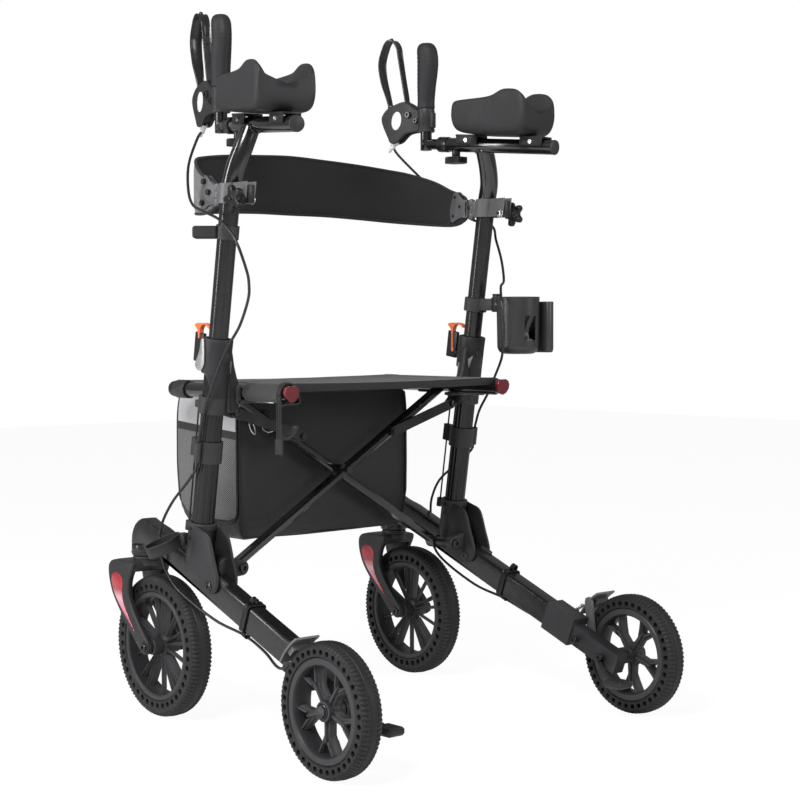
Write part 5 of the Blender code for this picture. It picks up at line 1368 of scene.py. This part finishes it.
def belt_clamp():
    low, high = CLAMP_Z - CLAMP_TALL / 2, CLAMP_Z + CLAMP_TALL / 2
    axis = on_post(CLAMP_Z)
    bend = [(POST_X + 0.019 * math.sin(a), axis.y + 0.019 * math.cos(a))
            for a in [math.radians(154 - 308 * k / 28) for k in range(29)]]
    line = [(bend[0][0], axis.y - 0.054), *bend, (bend[-1][0], axis.y - 0.054)]
    bm = upright_strip(line, low, high, 0.0024)
    block((HINGE[0], axis.y + 0.0265, CLAMP_Z), (0.01, 0.013, 0.029), None, 0.0012, 2, bm)
    for k in range(3):
        start = 0.8538 + 0.012 * k
        rod((*HINGE, start), (*HINGE, start + 0.0114), 0.006, 28, bm, edge=0.0005)
    outline = [tuple(p)[:2] for p in smooth([(y, z, 0) for y, z in LEAF], 4)]
    plate(outline, 0.002, (0.2808, 0, 0), OUT, bevel=0.0006, into=bm)
    plate(outline, 0.0014, (0.2712, 0, 0), OUT, bevel=0.0004, into=bm)
    block((0.276, 0.086, 0.872), (0.011, 0.005, 0.029), None, 0.0008, 2, bm)
    piece(bm, "backrest_clamp", "sheet", "height", ("backrest_clamp",), bevel=0.0003)
    bm = turned([(0.0163, -0.015), (0.0176, -0.015), (0.0177, 0.015), (0.0163, 0.015)], axis, POST_UP, 48,
                True)
    block((POST_X, 0.006, 0.868), (0.0125, 0.036, 0.029), None, 0.0016, 2, bm)
    piece(bm, "clamp_liner", "black_plastic", "height")
    bm = bmesh.new()
    for y, z in LEAF_HOLES:
        rod((0.2822, y, z), (0.2842, y, z), 0.0046, 24, bm, edge=0.0004)
        for turn in (0.3, 1.35, 2.4):
            tilt = Matrix.Rotation(turn, 3, "X")
            block((0.2854, y, z), (0.0032, 0.0094, 0.0026), tilt, 0.0007, 2, bm)
        rod((0.2705, y, z), (0.2698, y, z), 0.003, 20, bm, edge=0.0002)
    rod((*HINGE, 0.8526), (*HINGE, 0.8904), 0.0032, 20, bm, edge=0.0008)
    for y, z in ((HINGE[1] + 0.0005, 0.8744), (STAR[0] + 0.001, 0.868)):
        rod((POST_X - 0.0094, y, z), (POST_X - 0.0086, y, z), 0.0034, 20, bm, edge=0.0002)
    piece(bm, "clamp_screws", "black_plastic", "height")
    bm = rod((POST_X - 0.0086, *STAR), (POST_X - 0.0128, *STAR), 0.0062, 6)
    turned([(0.0064, 0), (0.0078, 0.0003), (0.0078, 0.0014), (0.0064, 0.0016)], (POST_X - 0.0086, *STAR),
           (-1, 0, 0), 32, True, bm)
    piece(bm, "clamp_nut", "steel", "height")


def star_piece():
    x = POST_X + 0.0083
    outline = []
    for a in angles(90):
        r = 0.018 + 0.0042 * math.tanh(1.6 * math.cos(5 * a)) / math.tanh(1.6)
        outline.append((r * math.cos(a), r * math.sin(a)))
    bm = plate(outline, 0.011, (x + 0.0175, *STAR), OUT, bevel=0.003, segments=3)
    turned([(0.003, 0), (0.0086, 0), (0.009, 0.0006), (0.009, 0.0018), (0.0078, 0.0026), (0.0078, 0.005),
            (0.009, 0.0056), (0.009, 0.0082), (0.01, 0.0095), (0.0125, 0.0125), (0.003, 0.0125)],
           (x, *STAR), OUT, 40, True, bm)
    turned([(0, 0.0225), (0.0062, 0.0225), (0.0058, 0.0238), (0.0034, 0.0244), (0.0032, 0.0268),
            (0.0018, 0.0274), (0, 0.0274)], (x, *STAR), OUT, 28, False, bm)
    rod((POST_X - 0.0129, *STAR), (x + 0.002, *STAR), 0.0029, 20, bm)
    piece(bm, "star_knob", "black_plastic", "star", ("star_knob",), 40)


def latch_piece():
    key = [(0.127, 0.6145), (0.131, 0.6125), (0.1332, 0.616), (0.133, 0.63), (0.1328, 0.646),
           (0.1345, 0.6545), (0.1378, 0.6592), (0.1412, 0.6617), (0.141, 0.6645), (0.137, 0.666),
           (0.128, 0.6664), (0.118, 0.6663), (0.109, 0.6652), (0.103, 0.6622), (0.1008, 0.6585),
           (0.103, 0.657), (0.107, 0.6605), (0.113, 0.6628), (0.119, 0.6627), (0.124, 0.66), (0.1272, 0.655),
           (0.1284, 0.646), (0.1286, 0.63), (0.1282, 0.619)]
    bm = plate(rounded(key, 4), 0.0092, (POST_X, 0, 0), OUT, bevel=0.0011, segments=2)
    piece(bm, "latch_lever", "orange", "latch", ("latch_lever",), 40)
    bm = bmesh.new()
    block((POST_X, 0.133, 0.627), (0.0062, 0.025, 0.048), Matrix.Rotation(math.radians(8.5), 3, "X"),
          0.0012, 2, bm)
    rod((POST_X - 0.0045, 0.1215, 0.611), (POST_X + 0.0045, 0.1215, 0.611), 0.003, 20, bm, edge=0.0003)
    block((POST_X + 0.0215, 0.096, 0.62), (0.0056, 0.019, 0.044), None, 0.0015, 2, bm)
    piece(bm, "latch_channel", "black_plastic", "side")


def cup_shell():
    """The cup as one thin wall, with a tall opening towards the rear."""
    profile = [(0.0004, 0.0), (0.012, 0.0), (0.0225, 0.0), (0.0275, 0.0008), (0.0315, 0.003),
               (0.0342, 0.0065), (0.0355, 0.0105)]
    rows = 26
    for k in range(rows + 1):
        t = k / rows
        profile.append((0.0356 + (CUP_RADIUS - 0.0013 - 0.0356) * t,
                        0.0125 + (CUP_HIGH - CUP_LOW - 0.0125) * t))
    rings = [[CUP + Vector((r * math.cos(a), r * math.sin(a), CUP_LOW + h)) for r, h in profile]
             for a in [CUP_OPEN + turn for turn in angles(90)]]
    rings.append(rings[0])
    bm = skin(rings, False, False)
    bmesh.ops.remove_doubles(bm, verts=bm.verts, dist=1e-5)
    gone = []
    for face in bm.faces:
        spot = face.calc_center_median()
        turn = math.atan2(spot.y - CUP.y, spot.x - CUP.x) - CUP_OPEN
        turn = (turn + math.pi) % (2 * math.pi) - math.pi
        if abs(turn) < math.radians(19.5) and 0.634 < spot.z < 0.678:
            gone.append(face)
    bmesh.ops.delete(bm, geom=gone, context="FACES")
    return bm


def cup_pieces():
    made = piece(cup_shell(), "cup_holder", "cup", "height_right", ("cup_holder",), 50,
                 mirror=False)[0]
    wall = made.modifiers.new("wall", "SOLIDIFY")
    wall.thickness = 0.0025
    wall.offset = 0.0
    soften(made, 0.0005, 2, 40, False)
    bm = turned([(CUP_RADIUS - 0.003, 0), (CUP_RADIUS - 0.0002, 0), (CUP_RADIUS, 0.0004),
                 (CUP_RADIUS, 0.002), (CUP_RADIUS - 0.0006, 0.0026), (CUP_RADIUS - 0.0026, 0.0026),
                 (CUP_RADIUS - 0.003, 0.002)],
                CUP + Vector((0, 0, CUP_HIGH - 0.0026)), UP, 72, True)
    middle = Vector((math.cos(CUP_OPEN), math.sin(CUP_OPEN), 0))
    across = Vector((-middle.y, middle.x, 0))
    strap = smooth([CUP + middle * 0.0335 + across * 0.006 + Vector((0, 0, 0.684)),
                    CUP + middle * 0.031 + across * 0.003 + Vector((0, 0, 0.672)),
                    CUP + middle * 0.0265 - across * 0.001 + Vector((0, 0, 0.656)),
                    CUP + middle * 0.027 - across * 0.0035 + Vector((0, 0, 0.643)),
                    CUP + middle * 0.033 - across * 0.004 + Vector((0, 0, 0.633))], 6)
    rounded_band(strap, 0.01, 0.0022, across, bm)
    turned([(0, 0), (0.0062, 0), (0.0076, 0.0016), (0.008, 0.005), (0.008, 0.02), (0.007, 0.0232),
            (0, 0.024)],
           CUP + middle * 0.028 + across * 0.002 + Vector((0, 0, 0.6135)), UP, 32, False, bm)
    center = Vector(((POCKET[0] + POCKET[1]) / 2, -0.025, 0))
    half_x, half_y = (POCKET[1] - POCKET[0]) / 2, 0.038
    rings = []
    for inset, z in ((0.005, 0.6125), (0.0026, 0.613), (0.0009, 0.6148), (0.0, 0.619), (0.0, 0.702),
                     (0.0005, 0.7034), (0.0022, 0.7034), (0.0027, 0.702), (0.0027, 0.619), (0.004, 0.6165)):
        line = smooth_loop_flat(half_x - inset, half_y - inset, max(0.002, 0.007 - inset))
        rings.append([center + Vector((x, y, z)) for x, y in line])
    skin(rings, True, True, bm)
    block((POCKET[0] - 0.001, CUP.y, 0.69), (0.006, 0.024, 0.02), None, 0.0012, 2, bm)
    piece(bm, "cup_pocket", "cup", "height_right", angle=42, mirror=False)
    axis = on_post(0.699)
    bm = turned([(0.0164, -0.012), (0.02, -0.012), (0.0208, -0.0112), (0.0208, 0.0112), (0.02, 0.012),
                 (0.0164, 0.012)], axis, POST_UP, 48, True)
    block((POST_X - 0.001, 0.038, 0.6985), (0.0165, 0.04, 0.0215), None, 0.0016, 2, bm)
    piece(bm, "cup_arm", "plastic", "height_right", mirror=False)
    bm = block((POST_X + 0.001, 0.014, 0.6985), (0.023, 0.015, 0.027), None, 0.003, 3)
    rod((POST_X - 0.0035, 0.0135, 0.687), (POST_X - 0.0035, 0.0135, 0.715), 0.007, 28, bm, edge=0.001)
    for a in angles(8):
        x, y = POST_X - 0.0035 + 0.0058 * math.cos(a), 0.0135 + 0.0058 * math.sin(a)
        rod((x, y, 0.7145), (x, y, 0.7175), 0.0016, 10, bm, edge=0.0003)
    piece(bm, "cup_joint", "black_plastic", "height_right", angle=38, mirror=False)
    bm = bolt((POST_X - 0.009, 0.007, 0.699), (-0.655, -0.755, 0), 0.0042, 0.003)
    rod((POST_X - 0.0035, 0.0135, 0.715), (POST_X - 0.0035, 0.0135, 0.7172), 0.0036, 20, bm, edge=0.0004)
    piece(bm, "cup_screw", "steel", "height_right", mirror=False)


def hook_piece():
    at = Vector((-RAIL_X, HOOK_Y, RAIL_Z))
    bm = bmesh.new()
    drop = [(-0.0158, -0.004), (-0.0155, 0.004), (-0.0125, 0.0105), (-0.007, 0.0148), (0.0, 0.016),
            (0.007, 0.0145), (0.013, 0.0085), (0.018, 0.0), (0.0215, -0.007), (0.0225, -0.012),
            (0.0195, -0.016), (0.013, -0.0172), (0.004, -0.0165), (-0.005, -0.017), (-0.011, -0.0195),
            (-0.015, -0.016), (-0.0158, -0.01)]
    line = [at + Vector((p.x, 0, p.y)) for p in smooth_loop([(x, z, 0) for x, z in drop], 4)]
    rounded_band([*line, *line[:2]], 0.0108, 0.0028, (0, 1, 0), bm)
    strip = [at + Vector((-0.016, 0, -0.004)), at + Vector((-0.016, 0, -0.03)),
             at + Vector((-0.016, 0, -0.074))]
    rounded_band(strip, [0.0104, 0.01, 0.01], 0.0036, (0, 1, 0), bm)
    for y in (-0.0024, 0.0024):
        rod(at + Vector((-0.0181, y, -0.01)), at + Vector((-0.0181, y, -0.07)), 0.0006, 8, bm, edge=0.0002)
    arm_line = smooth([at + Vector((-0.016, 0, -0.05)), at + Vector((-0.0145, 0, -0.062)),
                       at + Vector((-0.009, 0, -0.0705)), at + Vector((0.001, 0, -0.0705)),
                       at + Vector((0.01, 0, -0.065)), at + Vector((0.016, 0, -0.057)),
                       at + Vector((0.0175, 0, -0.053))], 6)
    rounded_band(arm_line, 0.0096, 0.0042, (0, 1, 0), bm)
    rod(at + Vector((0.0168, -0.0052, -0.0545)), at + Vector((0.0168, 0.0052, -0.0545)), 0.0036, 20, bm,
        edge=0.0012)
    tag = [at + Vector((-0.016 + x, 0, -0.084 + z)) for x, z in smooth_loop_flat(0.0022, 0.0125, 0.002)]
    rounded_tag = [[p + Vector((0, y, 0)) for p in tag] for y in (-0.0078, -0.007, 0.007, 0.0078)]
    skin(rounded_tag, True, True, bm)
    piece(bm, "cane_hook", "plastic", "hook", ("cane_hook",), 44, bevel=0.0004,
          mirror=False)


def rings_and_rods():
    bm = bmesh.new()
    look = Vector((0.755, -0.655, 0))
    center = Vector((-0.1338, 0.144, 0.4929))
    ring = [center + look * (0.012 * math.cos(a)) + Vector((0, 0, 0.012 * math.sin(a)))
            for a in [math.radians(75 + 325 * k / 40) for k in range(41)]]
    swept(ring, 0.00115, 10, bm)
    center = Vector((-0.1694, 0.143, 0.4901))
    side = Vector((0.3, -0.1, 0))
    up = Vector((-0.28, 0.1, 0.95)).normalized()
    ring = [center + side * (0.012 * math.cos(a)) + up * (0.012 * math.sin(a))
            for a in [math.radians(100 + 330 * k / 40) for k in range(41)]]
    swept(ring, 0.0011, 10, bm)
    piece(bm, "bag_rings", "steel", "soft_goods", angle=60, mirror=False)
    bm = bmesh.new()
    for x, y, z in ((-0.1338, 0.1515, 0.508), (-0.165, 0.1515, 0.505)):
        block((x, y, z), (0.013, 0.0022, 0.019), None, 0.0006, 2, bm)
    piece(bm, "ring_tabs", "binding", "soft_goods", angle=40, mirror=False)
    bm = turned([(0, 0), (RAIL_RADIUS - 0.0012, 0), (RAIL_RADIUS + 0.0004, 0.0012),
                 (RAIL_RADIUS + 0.001, 0.004), (RAIL_RADIUS + 0.001, 0.016), (RAIL_RADIUS + 0.0002, 0.0168),
                 (0, 0.0168)],
           (RAIL_X, 0.283, RAIL_Z), (0, -1, 0))
    piece(bm, "rail_cap", "black_plastic", "bars")
    bm = turned([(RAIL_RADIUS + 0.0002, 0), (RAIL_RADIUS + 0.0026, 0), (RAIL_RADIUS + 0.0032, 0.0008),
                 (RAIL_RADIUS + 0.0032, 0.032), (RAIL_RADIUS + 0.0026, 0.0328),
                 (RAIL_RADIUS + 0.0002, 0.0328)],
                (RAIL_X, 0.2345, RAIL_Z), (0, 1, 0), 48, True)
    piece(bm, "bag_loop", "nylon", "bars", angle=40)
    # A thin bright steel rod under the rail: partly a rod in the seat's hem, partly a painted highlight along
    # the rail's underside.
    bm = rod((RAIL_X, 0.0724, 0.5385), (RAIL_X, -0.0014, 0.5385), 0.0013, 12, edge=0.0003)
    piece(bm, "hem_rod_and_highlight", "steel", "bars")


def bracket_bolts():
    bm = bmesh.new()
    for y, z in ((-0.194, 0.124), (-0.253, 0.102)):
        bolt((0.2735, y, z), OUT, 0.0062, 0.0032, bm)
        bolt((0.26, y, z), (-1, 0, 0), 0.0062, 0.0032, bm)
    piece(bm, "frame_bolts", "dark_steel", "side")
    rings = []
    for k in range(17):
        share = k / 16
        a = math.radians(170 + 67 * share)
        low = 0.574 + 0.032 * max(0.0, (share - 0.72) / 0.28)
        high = 0.593 + 0.016 * share ** 1.6
        ray = Vector((math.cos(a), 0, 0)) + POST_AHEAD * math.sin(a)
        rings.append([on_post(z) + ray * r for z, r in ((low, 0.0236), (low, 0.0247), (high, 0.0247),
                                                        (high, 0.0236))])
    bm = skin(rings)
    piece(bm, "collar_plate", "silver", "side")


belt_clamp()
star_piece()
latch_piece()
cup_pieces()
hook_piece()
rings_and_rods()
bracket_bolts()


# Brackets on the posts

CHEEK = [(0.126, 0.3385), (0.113, 0.3345), (0.1, 0.3305), (0.088, 0.3268), (0.0795, 0.3195), (0.0735, 0.306),
         (0.0665, 0.285), (0.0585, 0.264), (0.056, 0.25), (0.06, 0.2375), (0.071, 0.2302), (0.085, 0.2285),
         (0.098, 0.2305), (0.112, 0.237), (0.13, 0.244), (0.148, 0.251), (0.1545, 0.26), (0.149, 0.271),
         (0.14, 0.28), (0.133, 0.292), (0.13, 0.308), (0.13, 0.326)]
PIVOT = (0.2368, 0.2655)
LINK_RAIL = (0.2406, 0.5197)
COLLAR_RADIUS = 0.024
POST_BORE = 0.0189


def capsule(first, second, first_radius, second_radius):
    """The outline round two discs."""
    a, b = Vector(first), Vector(second)
    along = math.atan2(b.y - a.y, b.x - a.x)
    lean = math.acos(max(-1.0, min(1.0, (first_radius - second_radius) / (b - a).length)))
    line = []
    for center, radius, start, span in ((a, first_radius, along + lean, 2 * math.pi - 2 * lean),
                                        (b, second_radius, along - lean, 2 * lean)):
        for k in range(13):
            turn = start + span * k / 12
            line.append((center.x + radius * math.cos(turn), center.y + radius * math.sin(turn)))
    return line


def lower_bracket_pieces():
    bm = turned([(POST_BORE, -0.0395), (0.0224, -0.0395), (0.023, -0.0385), (0.0232, 0.029), (0.0241, 0.03),
                 (0.0241, 0.0382), (0.0233, 0.0392), (POST_BORE + 0.0006, 0.0395), (POST_BORE, 0.0385)],
                on_post(0.3015), POST_UP, 64, True)
    outline = rounded(CHEEK, 3)
    middle = Vector((sum(p[0] for p in outline) / len(outline), sum(p[1] for p in outline) / len(outline)))
    lip = [tuple(middle + (Vector(p) - middle) * 0.955) for p in outline]
    for sign in (1, -1):
        plate(outline, 0.0046, (LEG_X + sign * 0.0182, 0, 0), OUT, bevel=0.0017, segments=3, into=bm)
        plate(lip, 0.0016, (LEG_X + sign * 0.0206, 0, 0), OUT, bevel=0.0006, into=bm)
    ear = capsule((LEG_X - 0.016, PIVOT[1] + 0.002), PIVOT, 0.0175, 0.0128)
    plate([(-x, z) for x, z in ear], 0.0142, (0, 0.0858, 0), (0, 1, 0), bevel=0.0022, segments=3, into=bm)
    rod(on_post(0.318, 0.039), on_post(0.334, 0.039), 0.006, 24, bm)
    block(on_post(0.326, 0.029), (0.008, 0.02, 0.014), POST_TURN, 0.0012, 2, bm)
    block(on_leg(0.064, 0.008, 0.01), (0.009, 0.028, 0.038), LEG_TURN, 0.004, 3, bm)
    piece(bm, "lower_bracket", "plastic", "side", ("lower_bracket",), 36)
    bm = bmesh.new()
    for sign in (1, -1):
        spot = (LEG_X + sign * 0.0214, 0.0796, 0.241)
        turned([(0.0055, 0), (0.0082, 0.0002), (0.0086, 0.0012), (0.007, 0.002), (0.0055, 0.002)], spot,
               (sign, 0, 0), 32, True, bm)
        bolt(spot, (sign, 0, 0), 0.0056, 0.0026, bm)
        bolt(on_post(0.3315, 0, sign * 0.0238), (sign, 0, 0), 0.003, 0.0016, bm)
        bolt(on_post(0.315, 0, sign * 0.0229), (sign, 0, 0), 0.003, 0.0016, bm)
    bolt((PIVOT[0], 0.079, PIVOT[1]), (0, -1, 0), 0.008, 0.005, bm)
    piece(bm, "bracket_screws", "dark_steel", "side")
    rod_mesh = rod(on_post(0.326, 0.039), on_post(0.531, 0.039), 0.0015, 16, edge=0.0002)
    piece(rod_mesh, "guide_rod", "black_plastic", "side")
    for side, sign, bar_y in (("right", 1, 0.137), ("left", -1, 0.106)):
        x, z = sign * PIVOT[0], PIVOT[1]
        bm = bmesh.new()
        for start, end, radius, sides in ((0.08, bar_y + 0.016, 0.0053, 24),
                                          (0.0925, bar_y - 0.0104, 0.009, 32),
                                          (bar_y + 0.0103, bar_y + 0.0155, 0.0083, 6)):
            rod((x, start, z), (x, end, z), radius, sides, bm)
        piece(bm, f"foot_pin_{side}", "dark_steel", f"{side}_side", mirror=False)


def upper_bracket_pieces():
    bm = turned([(POST_BORE, -0.0285), (COLLAR_RADIUS - 0.001, -0.0285), (COLLAR_RADIUS - 0.0002, -0.0272),
                 (COLLAR_RADIUS, 0.01), (COLLAR_RADIUS + 0.0004, 0.0262), (COLLAR_RADIUS - 0.0002, 0.028),
                 (COLLAR_RADIUS - 0.0016, 0.0285), (POST_BORE + 0.0008, 0.0285), (POST_BORE, 0.0275)],
                on_post(0.6133), POST_UP, 64, True)
    turned([(POST_BORE, -0.014), (COLLAR_RADIUS - 0.0008, -0.014), (COLLAR_RADIUS, -0.013),
            (COLLAR_RADIUS, 0.013), (COLLAR_RADIUS - 0.0008, 0.014), (POST_BORE, 0.014)], on_post(0.534),
           POST_UP, 64, True, bm)
    rings = []
    for k in range(15):
        z = 0.544 + (0.588 - 0.544) * k / 14
        span = 52 + 42 * (k / 14) ** 2.2
        outer, inner = [], []
        for i in range(25):
            a = math.radians(262 - span + 2 * span * i / 24)
            ray = Vector((math.cos(a), 0, 0)) + POST_AHEAD * math.sin(a)
            outer.append(on_post(z) + ray * (COLLAR_RADIUS - 0.0002))
            inner.append(on_post(z) + ray * POST_BORE)
        rings.append(outer + inner[::-1])
    skin(rings, True, True, bm)
    key = [(0.268, 0.628), (0.26, 0.625), (0.2572, 0.613), (0.2545, 0.596), (0.25, 0.579), (0.2468, 0.57),
           (0.2458, 0.561), (0.2458, 0.542), (0.248, 0.525), (0.256, 0.5205), (0.266, 0.521), (0.269, 0.53),
           (0.27, 0.59)]
    plate(rounded([(-x, z) for x, z in key], 3), 0.017, (0, 0.08, 0), (0, 1, 0), bevel=0.004, segments=3,
          into=bm)
    block((RAIL_X + 0.003, 0.0782, RAIL_Z - 0.0158), (0.034, 0.02, 0.0058), None, 0.0016, 2, bm)
    block((RAIL_X + 0.0173, 0.0782, RAIL_Z - 0.004), (0.0084, 0.02, 0.031), None, 0.0016, 2, bm)
    ear = capsule((POST_X - 0.018, 0.532), LINK_RAIL, 0.0145, 0.0095)
    plate([(-x, z) for x, z in ear], 0.0074, (0, 0.0985, 0), (0, 1, 0), bevel=0.0014, segments=2, into=bm)
    block(on_post(0.528, 0.033), (0.0085, 0.025, 0.012), POST_TURN, 0.0012, 2, bm)
    rod(on_post(0.613, -0.0235), on_post(0.613, -0.0262), 0.0085, 32, bm, edge=0.001)
    piece(bm, "upper_bracket", "plastic", "side", ("upper_bracket",), 36)
    x, z = LINK_RAIL
    bm = bmesh.new()
    for start, end, radius, sides in ((0.086, 0.102, 0.004, 20), (0.0856, 0.089, 0.0064, 6),
                                      (0.1022, 0.1045, 0.0064, 24)):
        rod((x, start, z), (x, end, z), radius, sides, bm)
    piece(bm, "link_pin", "dark_steel", "side")
    key = [(0.1345, 0.647), (0.1302, 0.6462), (0.1294, 0.635), (0.1296, 0.624), (0.1306, 0.615),
           (0.1345, 0.6094), (0.14, 0.6074), (0.1458, 0.6098), (0.149, 0.616), (0.144, 0.624),
           (0.139, 0.633), (0.1365, 0.642)]
    outline = [(0.0965 + (y - 0.1395) * 1.3, 0.615 + (z - 0.627) * 1.3) for y, z in key]
    bm = plate(rounded(outline, 4), 0.0026, (POST_X + 0.0258, 0, 0), OUT, bevel=0.0009, segments=2)
    piece(bm, "latch_plate", "silver", "latch")


def cane_cup_piece():
    lean = Vector((-0.42, 0.16, 1)).normalized()
    center = Vector((-0.3175, 0.184, 0.3))
    left = Vector((-0.755, 0.655, 0))
    left = (left - lean * left.dot(lean)).normalized()
    ahead = lean.cross(left)
    line = []
    for a in angles(72):
        r = 0.0282 * (1 + 0.16 * max(0.0, math.cos(a)) ** 4) * (1 - 0.06 * math.sin(a) ** 2)
        line.append(center + left * r * math.cos(a) + ahead * r * math.sin(a))
    bm = rounded_band([*line, *line[:2]], 0.02, 0.0026, lean)
    rod(center - left * 0.027, center - left * 0.035 + Vector((0, -0.004, 0)), 0.0085, 24, bm, edge=0.0015)
    block(center - left * 0.0315 - lean * 0.002, (0.016, 0.016, 0.021), None, 0.003, 3, bm)
    piece(bm, "cane_cup", "plastic", "left_side", ("cane_cup",), 50, mirror=False)


lower_bracket_pieces()
upper_bracket_pieces()
cane_cup_piece()


# Soft goods: the cloth pieces and the belt get meshes of their own

SOFT = ("seat.001", "seat_hem", "seat_stitches", "bag.001", "bag_flaps", "bag_edges", "bag_rings",
        "ring_tabs", "bag_mesh_left",
        "bag_mesh_right", "bag_band_left", "bag_band_right", "bag_panel_left", "bag_panel_right",
        "bag_piping_left",
        "bag_piping_right")


def declare_cloth():
    scene_pieces = bpy.data.objects
    for name in SOFT:
        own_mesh(scene_pieces[name])
    for name in ("belt.001", "belt_binding"):
        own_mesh(scene_pieces[name])


declare_cloth()


# Camera


def place_camera():
    azimuth, rise, roll = (math.radians(v) for v in (-40.946, 2.4715, -0.139))
    back = Vector((math.sin(azimuth) * math.cos(rise), -math.cos(azimuth) * math.cos(rise), math.sin(rise)))
    right = (-back).cross(Vector(UP)).normalized()
    up = right.cross(-back)
    across = right * math.cos(roll) + up * math.sin(roll)
    over = up * math.cos(roll) - right * math.sin(roll)
    data = bpy.data.cameras.new("camera")
    data.sensor_width = 36.0
    data.lens = 36.0 * 1740.65 / 800
    data.clip_start = 0.05
    data.clip_end = 50
    obj = bpy.data.objects.new("camera", data)
    turn = Matrix((across, over, back)).transposed().to_4x4()
    obj.matrix_world = Matrix.Translation((-1.9005, -2.2324, 0.6624)) @ turn
    bpy.context.scene.collection.objects.link(obj)
    bpy.context.scene.camera = obj


# Light and floor


def lamp(name, location, target, size, power):
    data = bpy.data.lights.new(name, "AREA")
    data.shape = "RECTANGLE"
    data.size, data.size_y = size
    data.energy = power
    obj = bpy.data.objects.new(name, data)
    obj.location = location
    obj.rotation_euler = (Vector(location) - Vector(target)).to_track_quat("Z", "Y").to_euler()
    bpy.context.scene.collection.objects.link(obj)


def world_light():
    world = bpy.data.worlds.new("studio")
    world.use_nodes = True
    tree = world.node_tree
    shader = tree.nodes["Background"]
    path = tree.nodes.new("ShaderNodeLightPath")
    seen = tree.nodes.new("ShaderNodeMath")
    seen.operation = "MAXIMUM"
    link(tree, path, "Is Camera Ray", seen, 0)
    link(tree, path, "Is Transmission Ray", seen, 1)
    level = tree.nodes.new("ShaderNodeMapRange")
    set_inputs(level, {"To Min": 0.27, "To Max": 1.0})
    link(tree, seen, "Value", level, "Value")
    shader.inputs["Color"].default_value = (1, 1, 1, 1)
    link(tree, level, "Result", shader, "Strength")
    bpy.context.scene.world = world


def floor_piece():
    mesh = bpy.data.meshes.new("floor")
    mesh.from_pydata([(-8, -8, 0), (8, -8, 0), (8, 8, 0), (-8, 8, 0)], [], [(0, 1, 2, 3)])
    obj = bpy.data.objects.new("floor", mesh)
    bpy.context.scene.collection.objects.link(obj)
    material, tree, shader = shader_graph("pale_floor")
    set_inputs(shader, {"Roughness": 0.85, "Specular IOR Level": 0.1})
    place = tree.nodes.new("ShaderNodeTexCoord")
    cloud = add_noise(tree, (place, "Object"), 2.0, 2.0)
    tone = ramp_between(tree, cloud, "Fac", 0.3, 0.7, grey(0.9), grey(0.93))
    link(tree, tone, "Color", shader, "Base Color")
    path = tree.nodes.new("ShaderNodeLightPath")
    glow = tree.nodes.new("ShaderNodeEmission")
    glow.inputs["Strength"].default_value = 1.06
    mix = tree.nodes.new("ShaderNodeMixShader")
    seen = tree.nodes.new("ShaderNodeMath")
    seen.operation = "MULTIPLY"
    link(tree, path, "Is Camera Ray", seen, 0)
    seen.inputs[1].default_value = 0.88
    link(tree, seen, "Value", mix, 0)
    link(tree, shader, "BSDF", mix, 1)
    link(tree, glow, "Emission", mix, 2)
    link(tree, mix, "Shader", tree.nodes["Material Output"], "Surface")
    obj.data.materials.append(material)


place_camera()
world_light()
lamp("key", (-2.6, -1.2, 2.9), (0, 0, 0.6), (1.1, 1.1), 100)
lamp("side", (-3.2, 1.6, 1.6), (0, 0, 0.6), (0.5, 2.4), 55)
lamp("fill", (1.6, -3.2, 1.9), (0, 0, 0.6), (1.2, 1.8), 38)
floor_piece()

bpy.context.view_layer.update()
